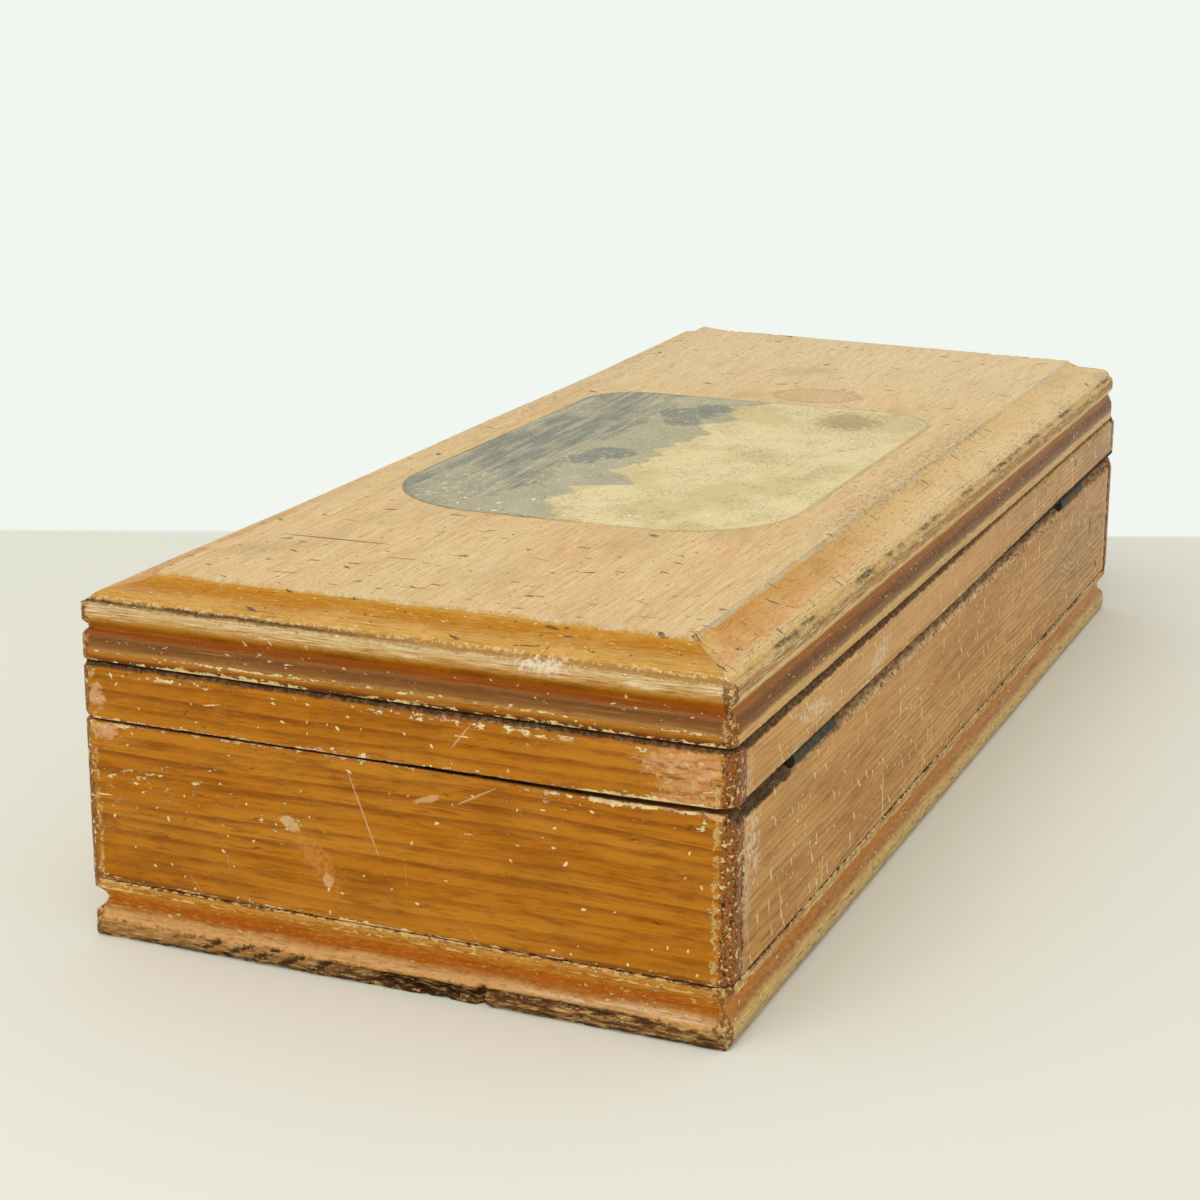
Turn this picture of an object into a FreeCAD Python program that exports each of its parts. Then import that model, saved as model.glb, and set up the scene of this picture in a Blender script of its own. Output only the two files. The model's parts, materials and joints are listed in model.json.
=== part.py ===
import FreeCAD, Part
import math
import os
import Sketcher

# A long low wooden box with a hinged lid.  Its walls and the lid's rails were glued up as one closed box
# between two moulded boards, and the lid was then sawn off.  The long sides run along X and the hinges are
# at the back, +Y.  The origin is in the middle of the underside.

# Driving dimensions, in millimetres.
SIZES = {
    # The box and the lid's sides.
    "box_length": 261.0,  # over the walls, along X
    "box_width": 110.0,  # over the walls, along Y
    "wall_thickness": 7.5,
    "lap_thickness": 5.0,  # the end boards' tongues, which lap over the ends of the long walls
    "corner_radius": 2.5,  # upright corners, rubbed round
    "wall_height": 27.2,  # at the front, from the base board to the rim
    "rim_fall": 0.8,  # how much lower the rim is at the back
    "rim_bevel_width": 1.3,  # the bevel along the back of the rim
    "lid_gap": 0.3,  # between the rim and the closed lid, at the front
    "rail_height": 9.2,  # the lid's sides, from the saw cut to the lid board
    "joint_bevel": 0.6,  # the worn upper edge of the lid's sides
    # The base board's moulding, from the underside up.
    "underside_inset": 0.9,
    "under_edge_height": 0.7,
    "under_edge_inset": 0.35,
    "base_nose_height": 3.6,
    "base_nose_depth": 0.45,
    "base_cove_inset": 0.6,  # where the nose meets the cove
    "base_cove_height": 4.2,
    "base_cove_depth": 1.6,
    "base_fillet_height": 2.0,
    # The lid board's moulding, from its underside up.
    "bead_inset": 0.25,
    "bead_height": 3.2,
    "bead_depth": 0.2,
    "valley_inset": 1.15,  # the foot of the notch between bead and nose
    "valley_slope_height": 1.1,  # each side of the notch
    "valley_floor_height": 1.0,
    "valley_floor_depth": 0.3,
    "nose_foot_inset": 0.25,
    "nose_height": 2.1,
    "nose_depth": 0.2,
    "nose_shoulder_inset": 0.35,
    "quirk_inset": 1.3,  # the fine groove over the nose
    "shoulder_height": 0.5,  # from the nose's shoulder to the quirk
    "shoulder_depth": 0.15,
    "ogee_round_width": 3.3,
    "ogee_round_height": 1.75,
    "ogee_round_depth": 0.45,
    "ogee_hollow_height": 1.65,
    "ogee_hollow_depth": 0.35,
    "field_step": 0.5,  # the flat field stands this much over the hollow
    "field_step_lean": 0.2,
    "field_inset_ends": 9.2,
    "field_inset_sides": 10.0,
    # The picture on the lid.
    "picture_length": 112.0,
    "picture_width": 75.0,
    "picture_thickness": 0.15,
    "picture_right_shift": 10.6,  # from the lid's middle, towards the right
    "picture_front_shift": 1.5,  # from the lid's middle, towards the front
    "picture_right_radius": 22.0,
    "picture_left_radius": 12.0,
    # The butt hinges.
    "hinge_length": 20.0,
    "left_hinge_distance": 45.0,  # from the left end of the box to the middle of the left hinge
    "right_hinge_distance": 36.4,  # from the right end to the middle of the right hinge
    "hinge_setback": 1.0,  # from the back face to the pin's axis
    "knuckle_radius": 1.2,
    "knuckle_play": 0.15,  # between neighbouring knuckles, and round them
    "leaf_width": 5.2,  # from the pin's axis
    "leaf_thickness": 0.8,
    "leaf_stand_off": 0.15,  # the leaves' seats lie this far outside the knuckles
    "mortise_play": 0.2,
    "bevel_play": 0.1,  # the rim's bevel ends this far under the mortises
    "pin_radius": 0.55,
    "pin_play": 0.05,
    "pin_head_radius": 0.85,
    "pin_head_height": 0.3,
    # The hinge screws, two to a leaf.
    "screw_spacing": 12.0,
    "screw_setback": 3.3,  # from the pin's axis
    "screw_radius": 0.75,
    "screw_head_radius": 1.25,
    "screw_length": 6.5,
    "screw_point_length": 1.5,
    "slot_width": 0.35,
    "slot_depth": 0.35,
    # The brads through the base board.
    "brad_radius": 0.6,
    "brad_length": 19.0,
    "brad_head_radius": 1.1,
    "brad_head_height": 0.5,
    "side_brad_distance": 35.5,  # from the end of the box to the outer brads of a long wall
    "end_brad_distance": 30.0,  # from the side of the box to the brads of an end wall
}

OVERSHOOT = 5.0  # how far a cutting shape reaches past what it cuts
CORNER_MARGIN = 0.05  # between the mouldings' furthest reach and the plan that rounds their corners

ALONG_X = FreeCAD.Rotation(FreeCAD.Vector(0, 1, 0), 90)
UPWARDS = FreeCAD.Rotation()
DOWNWARDS = FreeCAD.Rotation(FreeCAD.Vector(1, 0, 0), 180)

document = FreeCAD.newDocument("candle_box")


class Size:
    """A length, with the sheet formula that gives it."""

    def __init__(self, value, formula):
        self.value = value
        self.formula = formula

    def __add__(self, other):
        return Size(self.value + other.value, f"({self.formula} + {other.formula})")

    def __sub__(self, other):
        return Size(self.value - other.value, f"({self.formula} - {other.formula})")

    def __neg__(self):
        return Size(-self.value, f"(0 - {self.formula})")

    def __mul__(self, factor):
        if isinstance(factor, Size):
            return Size(self.value * factor.value, f"({self.formula} * {factor.formula})")
        return Size(self.value * factor, f"({self.formula} * ({factor}))")

    def __truediv__(self, divisor):
        if isinstance(divisor, Size):
            return Size(self.value / divisor.value, f"({self.formula} / {divisor.formula})")
        return Size(self.value / divisor, f"({self.formula} / {divisor})")


def fill_sheet():
    """Put the driving dimensions in the document's sheet."""
    sheet = document.addObject("Spreadsheet::Sheet", "Sizes")
    for row, (name, value) in enumerate(SIZES.items(), start=1):
        sheet.set(f"B{row}", str(value))
        sheet.setAlias(f"B{row}", name)
    document.recompute()


def size(name):
    """A driving dimension by its name."""
    return Size(SIZES[name], f"Sizes.{name}")


def fixed(value):
    """A length that no driving dimension sets."""
    return Size(value, str(value))


NOTHING = fixed(0.0)

box_length = size("box_length")
box_width = size("box_width")
wall_thickness = size("wall_thickness")
wall_height = size("wall_height")
half_length = box_length / 2
half_width = box_width / 2

base_nose_top = size("under_edge_height") + size("base_nose_height")
base_cove_top = base_nose_top + size("base_cove_height")
base_height = base_cove_top + size("base_fillet_height")
lid_underside = base_height + wall_height + size("lid_gap")
board_underside = lid_underside + size("rail_height")

valley_foot = size("bead_height") + size("valley_slope_height")
valley_top = valley_foot + size("valley_floor_height")
nose_foot = valley_top + size("valley_slope_height")
nose_shoulder = nose_foot + size("nose_height")
quirk_height = nose_shoulder + size("shoulder_height")
ogee_round_top = quirk_height + size("ogee_round_height")
ogee_hollow_top = ogee_round_top + size("ogee_hollow_height")
board_height = ogee_hollow_top + size("field_step")
lid_top = board_underside + board_height

leaf_stand = size("knuckle_radius") + size("leaf_stand_off")
pin_axis_y = half_width - size("hinge_setback")
pin_axis_z = lid_underside - leaf_stand
box_leaf_seat = pin_axis_z - leaf_stand
hinge_half = size("hinge_length") / 2
knuckle_length = (size("hinge_length") - size("knuckle_play") * 2) / 3


# Sketches.


def arc_between(start, end, radius, outwards):
    """An arc from start to end on one circle, always running anticlockwise for the sketcher."""
    if not outwards:
        start, end = end, start
    chord = end - start
    middle = (start + end) / 2
    reach = math.sqrt(max(radius**2 - (chord.Length / 2) ** 2, 0.0))
    left = FreeCAD.Vector(-chord.y, chord.x, 0).normalize()
    centre = middle + left * reach
    first = math.atan2(start.y - centre.y, start.x - centre.x)
    last = math.atan2(end.y - centre.y, end.x - centre.x)
    if last < first:
        last += 2 * math.pi
    return Part.ArcOfCircle(Part.Circle(centre, FreeCAD.Vector(0, 0, 1), radius), first, last)


def radius_of(kind, depth, before, after):
    """The radius of an arc, given as such for a rounded corner and by its depth for a moulding."""
    if kind == "corner":
        return depth
    across = after[0] - before[0]
    up = after[1] - before[1]
    return (across * across + up * up + depth * depth * 4) / (depth * 8)


def draw_outline(sketch, steps):
    """Draw a closed outline, anticlockwise, with each of its points bound to the sheet.

    A step is (kind, x, y) or (kind, x, y, depth): a line to (x, y), a bead or corner, which is an arc that
    swells outwards, or a cove, which is an arc that is hollow.
    """
    runs = []
    for step, before in zip(steps, steps[-1:] + steps[:-1]):
        start = FreeCAD.Vector(before[1].value, before[2].value, 0)
        end = FreeCAD.Vector(step[1].value, step[2].value, 0)
        if step[0] == "line":
            runs.append((sketch.addGeometry(Part.LineSegment(start, end)), 1, 2))
            continue
        radius = radius_of(step[0], step[3], before[1:3], step[1:3])
        outwards = step[0] != "cove"
        index = sketch.addGeometry(arc_between(start, end, radius.value, outwards))
        bound = sketch.addConstraint(Sketcher.Constraint("Radius", index, radius.value))
        sketch.setExpression(f"Constraints[{bound}]", radius.formula)
        runs.append((index, 1, 2) if outwards else (index, 2, 1))
    for run, following, step in zip(runs, runs[1:] + runs[:1], steps):
        sketch.addConstraint(Sketcher.Constraint("Coincident", run[0], run[2], following[0], following[1]))
        for direction, place in (("DistanceX", step[1]), ("DistanceY", step[2])):
            bound = sketch.addConstraint(Sketcher.Constraint(direction, -1, 1, run[0], run[2], place.value))
            sketch.setExpression(f"Constraints[{bound}]", place.formula)


def sketch_on(body, name, plane, steps):
    """A sketch of one outline on one of the body's own origin planes."""
    sketch = body.newObject("Sketcher::SketchObject", name)
    origin_plane = next(item for item in body.Origin.OriginFeatures if item.Role == plane)
    sketch.AttachmentSupport = (origin_plane, [""])
    sketch.MapMode = "FlatFace"
    draw_outline(sketch, steps)
    return sketch


def new_body(name):
    return document.addObject("PartDesign::Body", name)


def pad(body, name, plane, steps, length, both_ways=False):
    """Pad one outline of the body by a length."""
    feature = body.newObject("PartDesign::Pad", name)
    feature.Profile = sketch_on(body, name + "_outline", plane, steps)
    feature.SideType = "Symmetric" if both_ways else "One side"
    feature.setExpression("Length", length.formula)
    return feature


def cut_through(body, name, plane, steps):
    """Cut one outline through the whole body, both ways from its plane."""
    document.recompute()
    volume_before = body.Shape.Volume
    feature = body.newObject("PartDesign::Pocket", name)
    feature.Profile = sketch_on(body, name + "_outline", plane, steps)
    feature.Type = "ThroughAll"
    feature.SideType = "Symmetric"
    document.recompute()
    if body.Shape.Volume >= volume_before:
        raise RuntimeError(f"{name} cuts nothing")
    return feature


def place(item, x, y, z):
    """Bind an object's place to the sheet."""
    for axis, where in zip("xyz", (x, y, z)):
        item.setExpression(f"Placement.Base.{axis}", where.formula)


# Part primitives and booleans.


def primitive(kind, name, at, turn=UPWARDS, **sizes):
    """A Part primitive with its sizes and its place bound to the sheet."""
    item = document.addObject("Part::" + kind, name)
    for prop, length in sizes.items():
        item.setExpression(prop, length.formula)
    item.Placement = FreeCAD.Placement(FreeCAD.Vector(), turn)
    place(item, *at)
    return item


def fuse(name, items):
    item = document.addObject("Part::MultiFuse", name)
    item.Shapes = items
    return item


def group(name, items):
    """Several separate solids in one object."""
    item = document.addObject("Part::Compound", name)
    item.Links = items
    return item


def cut(name, base, tool):
    item = document.addObject("Part::Cut", name)
    item.Base = base
    item.Tool = tool
    return item


def common(name, first, second):
    item = document.addObject("Part::Common", name)
    item.Base = first
    item.Tool = second
    return item


# The moulded boards.


def mirror_run(run):
    """The same run of an outline on the other side of the middle, walked back down."""
    back = [("line", -run[-1][1], run[-1][2])]
    for step, before in zip(reversed(run[1:]), reversed(run[:-1])):
        back.append((step[0], -before[1], before[2]) + tuple(step[3:]))
    return back


def base_moulding(half):
    """The base board's edge, from its underside to its top."""
    under_edge = half - size("under_edge_inset")
    cove_foot = half - size("base_cove_inset")
    return [
        ("line", half - size("underside_inset"), NOTHING),
        ("line", under_edge, size("under_edge_height")),
        ("bead", cove_foot, base_nose_top, size("base_nose_depth")),
        ("cove", half, base_cove_top, size("base_cove_depth")),
        ("line", half, base_height),
    ]


def lid_moulding(half, field_inset):
    """The lid board's edge, from its underside to the raised field."""
    quirk = half - size("quirk_inset")
    ogee_middle = quirk - size("ogee_round_width")
    field_edge = half - field_inset
    step_foot = field_edge + size("field_step_lean")
    return [
        ("line", half - size("bead_inset"), NOTHING),
        ("bead", half - size("bead_inset"), size("bead_height"), size("bead_depth")),
        ("line", half - size("valley_inset"), valley_foot),
        ("cove", half - size("valley_inset"), valley_top, size("valley_floor_depth")),
        ("line", half - size("nose_foot_inset"), nose_foot),
        ("bead", half - size("nose_shoulder_inset"), nose_shoulder, size("nose_depth")),
        ("bead", quirk, quirk_height, size("shoulder_depth")),
        ("bead", ogee_middle, ogee_round_top, size("ogee_round_depth")),
        ("cove", step_foot, ogee_hollow_top, size("ogee_hollow_depth")),
        ("line", field_edge, board_height),
    ]


def moulded_board(name, side_moulding, end_moulding, height, swell, swell_inset):
    """A board with a moulding on all four edges, mitred where the runs along its sides and ends meet.

    Its corners are rounded where the mouldings swell furthest out.
    """
    reach = box_length + fixed(OVERSHOOT) * 2
    long_run = new_body(name + "_long_run")
    pad(long_run, name + "_sides", "YZ_Plane", side_moulding + mirror_run(side_moulding), reach, True)
    cross_run = new_body(name + "_cross_run")
    pad(cross_run, name + "_ends", "XZ_Plane", end_moulding + mirror_run(end_moulding), reach, True)
    corners = new_body(name + "_corners")
    overhang = swell - swell_inset + fixed(CORNER_MARGIN)
    radius = size("corner_radius") + overhang
    outline = rounded_rectangle(half_length + overhang, half_width + overhang, radius)
    pad(corners, name + "_plan", "XY_Plane", outline, height)
    return common(name + "_board", common(name + "_mitred", long_run, cross_run), corners)


def rounded_rectangle(half_x, half_y, radius):
    """An outline with four like corners, anticlockwise from the foot of its right side."""
    return [
        ("corner", half_x, radius - half_y, radius),
        ("line", half_x, half_y - radius),
        ("corner", half_x - radius, half_y, radius),
        ("line", radius - half_x, half_y),
        ("corner", -half_x, half_y - radius, radius),
        ("line", -half_x, radius - half_y),
        ("corner", radius - half_x, -half_y, radius),
        ("line", half_x - radius, -half_y),
    ]


# The walls and the lid's rails.


def end_outline(side):
    """The plan of an end board, anticlockwise: a tongue at each end laps over a long board."""
    outer = half_length * side
    tongue = (half_length - size("lap_thickness")) * side
    inner = (half_length - wall_thickness) * side
    round_start = (half_length - size("corner_radius")) * side
    shoulder = half_width - wall_thickness
    round_end = half_width - size("corner_radius")
    steps = [
        ("line", outer, -round_end),
        ("line", outer, round_end),
        ("corner", round_start, half_width, size("corner_radius")),
        ("line", tongue, half_width),
        ("line", tongue, shoulder),
        ("line", inner, shoulder),
        ("line", inner, -shoulder),
        ("line", tongue, -shoulder),
        ("line", tongue, -half_width),
        ("line", round_start, -half_width),
    ]
    steps[0] = ("corner",) + steps[0][1:] + (size("corner_radius"),)
    return steps if side > 0 else turn_round(steps)


def turn_round(steps):
    """The same outline walked the other way, for a mirrored piece."""
    turned = []
    for step, following in zip(reversed(steps), [steps[0]] + list(reversed(steps[1:]))):
        turned.append((following[0], step[1], step[2]) + tuple(following[3:]))
    return turned


def long_outline(side):
    """The plan of a long board, which lies between the tongues of the end boards."""
    end = half_length - size("lap_thickness")
    faces = (half_width * side, (half_width - wall_thickness) * side)
    low, high = (faces[0], faces[1]) if side < 0 else (faces[1], faces[0])
    return [("line", end, low), ("line", end, high), ("line", -end, high), ("line", -end, low)]


def rim_outline():
    """What is planed off the walls: the rim falls towards the back and ends there in a bevel."""
    over = fixed(OVERSHOOT)
    rim_back = wall_height - size("rim_fall")
    bevel_foot = box_leaf_seat - size("bevel_play") - base_height
    return [
        ("line", -half_width, wall_height),
        ("line", half_width - size("rim_bevel_width"), rim_back),
        ("line", half_width, bevel_foot),
        ("line", half_width + over, bevel_foot),
        ("line", half_width + over, wall_height + over),
        ("line", -half_width, wall_height + over),
    ]


def wall(name, outline):
    """A wall of the box, with its share of the rim."""
    body = new_body(name + "_blank")
    pad(body, name + "_plan", "XY_Plane", outline, wall_height)
    place(body, NOTHING, NOTHING, base_height)
    cut_through(body, name + "_rim", "YZ_Plane", rim_outline())
    return body


def outer_top_edges(shape):
    """The upper edges of a rail that lie on the outside of the lid."""
    top = shape.BoundBox.ZMax
    inner_x = (half_length - size("corner_radius")).value
    inner_y = (half_width - size("corner_radius")).value
    names = []
    for number, edge in enumerate(shape.Edges, start=1):
        middle = edge.CenterOfMass
        outside = abs(middle.x) > inner_x or abs(middle.y) > inner_y
        if outside and math.isclose(edge.BoundBox.ZMin, top, abs_tol=1e-6):
            names.append(f"Edge{number}")
    return names


def rail(name, outline):
    """A side of the lid, its upper outer edge worn to a small bevel."""
    body = new_body(name + "_blank")
    block = pad(body, name + "_plan", "XY_Plane", outline, size("rail_height"))
    document.recompute()
    bevel = body.newObject("PartDesign::Chamfer", name + "_bevel")
    bevel.Base = (block, outer_top_edges(block.Shape))
    bevel.setExpression("Size", size("joint_bevel").formula)
    place(body, NOTHING, NOTHING, lid_underside)
    return body


# The picture.


def make_picture():
    """A thin panel on the field of the lid, its right-hand corners rounder than the left-hand ones."""
    right = size("picture_right_shift") + size("picture_length") / 2
    left = size("picture_right_shift") - size("picture_length") / 2
    back = size("picture_width") / 2 - size("picture_front_shift")
    front = back - size("picture_width")
    large = size("picture_right_radius")
    small = size("picture_left_radius")
    outline = [
        ("corner", right, front + large, large),
        ("line", right, back - large),
        ("corner", right - large, back, large),
        ("line", left + small, back),
        ("corner", left, back - small, small),
        ("line", left, front + small),
        ("corner", left + small, front, small),
        ("line", right - large, front),
    ]
    body = new_body("picture_panel")
    pad(body, "picture_plan", "XY_Plane", outline, size("picture_thickness"))
    place(body, NOTHING, NOTHING, lid_top)
    return body


# Fasteners.


def screw_blanks(name, face, side, turn):
    """Two screws of one leaf, not yet slotted, their heads flush with the leaf's face."""
    onwards = 1 if turn is UPWARDS else -1
    shank_start = face + size("leaf_thickness") * onwards
    point_start = face + (size("screw_length") - size("screw_point_length")) * onwards
    shank_length = size("screw_length") - size("screw_point_length") - size("leaf_thickness")
    y = pin_axis_y - size("screw_setback")
    blanks = []
    for number in (0, 1):
        x = hinge_middle(side) + size("screw_spacing") * (number - 0.5)
        label = f"{name}_{number + 1}"
        head = primitive("Cone", label + "_head", (x, y, face), turn, Radius1=size("screw_head_radius"),
                         Radius2=size("screw_radius"), Height=size("leaf_thickness"))
        shank = primitive("Cylinder", label + "_shank", (x, y, shank_start), turn,
                          Radius=size("screw_radius"), Height=shank_length)
        point = primitive("Cone", label + "_point", (x, y, point_start), turn, Radius1=size("screw_radius"),
                          Radius2=NOTHING, Height=size("screw_point_length"))
        blanks.append(fuse(label + "_blank", [head, shank, point]))
    return blanks


def slotted(blank, side, number, face, turn):
    """A finished screw: the blank with a slot sawn across its head."""
    x = hinge_middle(side) + size("screw_spacing") * (number - 0.5)
    y = pin_axis_y - size("screw_setback")
    bottom = face if turn is UPWARDS else face - size("slot_depth")
    corner = (x - size("screw_head_radius"), y - size("slot_width") / 2, bottom)
    saw = primitive("Box", blank.Name + "_slot", corner, Length=size("screw_head_radius") * 2,
                    Width=size("slot_width"), Height=size("slot_depth"))
    return cut(blank.Name + "_slotted", blank, saw)


def make_brads():
    """Brads up through the base board into the middle of the walls."""
    side_row = half_width - wall_thickness / 2
    end_row = half_length - wall_thickness / 2
    side_step = half_length - size("side_brad_distance")
    end_step = half_width - size("end_brad_distance")
    spots = [(side_step * step, side_row * side) for step in (-1, 0, 1) for side in (-1, 1)]
    spots += [(end_row * side, end_step * step) for step in (-1, 1) for side in (-1, 1)]
    brads = []
    for number, (x, y) in enumerate(spots, start=1):
        head = primitive("Cylinder", f"brad_{number}_head", (x, y, NOTHING),
                         Radius=size("brad_head_radius"), Height=size("brad_head_height"))
        shank = primitive("Cylinder", f"brad_{number}_shank", (x, y, NOTHING),
                          Radius=size("brad_radius"), Height=size("brad_length"))
        brads.append(fuse(f"brad_{number}", [head, shank]))
    return group("brads", brads)


# The hinges.


def hinge_middle(side):
    distance = size("right_hinge_distance") if side > 0 else size("left_hinge_distance")
    return (half_length - distance) * side


def knuckle_start(side, number):
    """Where a knuckle begins: number is 0 to 2, from the left."""
    return hinge_middle(side) - hinge_half + (knuckle_length + size("knuckle_play")) * number


def hinge_leaf(name, side, own_knuckles, underside, screws):
    """A leaf with its knuckles, bored for the pin and countersunk for its screws."""
    far_edge = pin_axis_y - size("leaf_width")
    plate_width = size("leaf_width") - size("knuckle_radius") - size("knuckle_play")
    corner = (hinge_middle(side) - hinge_half, far_edge, underside)
    pieces = [primitive("Box", name + "_plate", corner, Length=size("hinge_length"), Width=plate_width,
                        Height=size("leaf_thickness"))]
    for number in own_knuckles:
        start = knuckle_start(side, number)
        pieces.append(primitive("Box", f"{name}_neck_{number}", (start, far_edge, underside),
                                Length=knuckle_length, Width=size("leaf_width"),
                                Height=size("leaf_thickness")))
        pieces.append(primitive("Cylinder", f"{name}_knuckle_{number}", (start, pin_axis_y, pin_axis_z),
                                ALONG_X, Radius=size("knuckle_radius"), Height=knuckle_length))
    bore = primitive("Cylinder", name + "_bore", (corner[0], pin_axis_y, pin_axis_z), ALONG_X,
                     Radius=size("pin_radius") + size("pin_play"), Height=size("hinge_length"))
    return cut(name + "_leaf", fuse(name + "_plain", pieces), group(name + "_holes", [bore] + screws))


def hinge_pin(name, side):
    """The pin, riveted over at both ends."""
    start = hinge_middle(side) - hinge_half - size("pin_play")
    shank_length = size("hinge_length") + size("pin_play") * 2
    head_sizes = {"Radius": size("pin_head_radius"), "Height": size("pin_head_height")}
    shank = primitive("Cylinder", name + "_shank", (start, pin_axis_y, pin_axis_z), ALONG_X,
                      Radius=size("pin_radius"), Height=shank_length)
    heads = []
    for end, at in (("left", start - size("pin_head_height")), ("right", start + shank_length)):
        heads.append(primitive("Cylinder", f"{name}_{end}_head", (at, pin_axis_y, pin_axis_z), ALONG_X,
                               **head_sizes))
    return fuse(name + "_pin", [shank] + heads)


def mortise(name, side):
    """The pocket in the back wall for a hinge, open upwards and to the back."""
    reach = hinge_half + size("pin_play") + size("pin_head_height") + size("mortise_play")
    depth = size("leaf_width") + size("mortise_play")
    corner = (hinge_middle(side) - reach, pin_axis_y - depth, box_leaf_seat)
    over = fixed(OVERSHOOT)
    return primitive("Box", name + "_mortise", corner, Length=reach * 2, Width=depth + over,
                     Height=leaf_stand * 2 + over)


# The whole.


def make_nodes():
    """Every sub-part by its name."""
    nodes = {}
    brads = make_brads()
    nodes["base_brads"] = brads

    side_run = base_moulding(half_width)
    end_run = base_moulding(half_length)
    nose_inset = (size("under_edge_inset") + size("base_cove_inset")) / 2
    base_board = moulded_board("base", side_run, end_run, base_height, size("base_nose_depth"), nose_inset)
    nodes["base_board"] = cut("drilled_base", base_board, brads)

    box_blanks = []
    lid_blanks = []
    box_screws = []
    lid_screws = []
    mortises = []
    box_face = box_leaf_seat + size("leaf_thickness")
    lid_face = lid_underside - size("leaf_thickness")
    for side, hinge in ((-1, "left_hinge"), (1, "right_hinge")):
        box_pair = screw_blanks(hinge + "_box_screw", box_face, side, DOWNWARDS)
        lid_pair = screw_blanks(hinge + "_lid_screw", lid_face, side, UPWARDS)
        nodes[hinge + "_box_leaf"] = hinge_leaf(hinge + "_box", side, (0, 2), box_leaf_seat, box_pair)
        nodes[hinge + "_lid_leaf"] = hinge_leaf(hinge + "_lid", side, (1,), lid_face, lid_pair)
        nodes[hinge + "_pin"] = hinge_pin(hinge, side)
        for number in (0, 1):
            box_screws.append(slotted(box_pair[number], side, number, box_face, DOWNWARDS))
            lid_screws.append(slotted(lid_pair[number], side, number, lid_face, UPWARDS))
        box_blanks += box_pair
        lid_blanks += lid_pair
        mortises.append(mortise(hinge, side))
    nodes["box_hinge_screws"] = group("box_screws", box_screws)
    nodes["lid_hinge_screws"] = group("lid_screws", lid_screws)

    nodes["box_front"] = cut("drilled_front", wall("front_wall", long_outline(-1)), brads)
    cut_away = group("back_wall_holes", mortises + box_blanks + [brads])
    nodes["box_back"] = cut("drilled_back", wall("back_wall", long_outline(1)), cut_away)
    nodes["box_left_end"] = cut("drilled_left", wall("left_wall", end_outline(-1)), brads)
    nodes["box_right_end"] = cut("drilled_right", wall("right_wall", end_outline(1)), brads)

    nodes["lid_front_rail"] = rail("front_rail", long_outline(-1))
    back_rail = rail("back_rail", long_outline(1))
    nodes["lid_back_rail"] = cut("drilled_rail", back_rail, group("back_rail_holes", lid_blanks))
    nodes["lid_left_rail"] = rail("left_rail", end_outline(-1))
    nodes["lid_right_rail"] = rail("right_rail", end_outline(1))

    lid_side_run = lid_moulding(half_width, size("field_inset_sides"))
    lid_end_run = lid_moulding(half_length, size("field_inset_ends"))
    lid_board = moulded_board(
        "lid", lid_side_run, lid_end_run, board_height, size("bead_depth"), size("bead_inset")
    )
    place(lid_board, NOTHING, NOTHING, board_underside)
    nodes["lid_board"] = lid_board
    nodes["lid_picture"] = make_picture()
    return nodes


def check(nodes):
    """Stop if any object failed, or if a sub-part isn't made of sound solids."""
    for item in document.Objects:
        if "Invalid" in item.State or "Error" in item.State:
            raise RuntimeError(f"{item.Name} failed: {item.State}")
    for name, item in nodes.items():
        if item.Shape.isNull() or not item.Shape.isValid() or not item.Shape.Solids:
            raise RuntimeError(f"{name} has no sound shape")


def main():
    fill_sheet()
    nodes = make_nodes()
    for name, item in nodes.items():
        item.Label = name
    document.recompute()
    check(nodes)
    os.makedirs("parts", exist_ok=True)
    for name, item in nodes.items():
        item.Shape.exportStep(f"parts/{name}.step")
        print(name, len(item.Shape.Solids), "solids", round(item.Shape.Volume, 1), "mm3")


main()
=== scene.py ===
"""An antique candle box of worn amber pine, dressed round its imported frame. Every length is in metres."""
import json
import math
import bmesh
import bpy
import numpy as np
from mathutils import Matrix, Vector, noise


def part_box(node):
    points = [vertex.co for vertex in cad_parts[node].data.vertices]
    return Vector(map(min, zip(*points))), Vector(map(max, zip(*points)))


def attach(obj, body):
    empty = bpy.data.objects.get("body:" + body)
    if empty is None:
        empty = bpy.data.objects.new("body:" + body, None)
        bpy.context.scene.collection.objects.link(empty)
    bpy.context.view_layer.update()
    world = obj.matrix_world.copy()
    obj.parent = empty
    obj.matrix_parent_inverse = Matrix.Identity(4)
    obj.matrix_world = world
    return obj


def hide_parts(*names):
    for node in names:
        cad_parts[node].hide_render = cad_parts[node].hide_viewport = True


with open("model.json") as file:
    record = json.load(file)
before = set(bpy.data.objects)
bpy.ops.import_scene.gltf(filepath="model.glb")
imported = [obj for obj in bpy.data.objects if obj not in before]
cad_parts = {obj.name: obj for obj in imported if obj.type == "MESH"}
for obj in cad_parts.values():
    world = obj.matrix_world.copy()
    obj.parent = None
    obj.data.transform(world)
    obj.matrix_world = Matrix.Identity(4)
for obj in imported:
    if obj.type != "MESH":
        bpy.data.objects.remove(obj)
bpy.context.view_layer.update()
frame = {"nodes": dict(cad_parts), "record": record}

MM = 0.001

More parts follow.
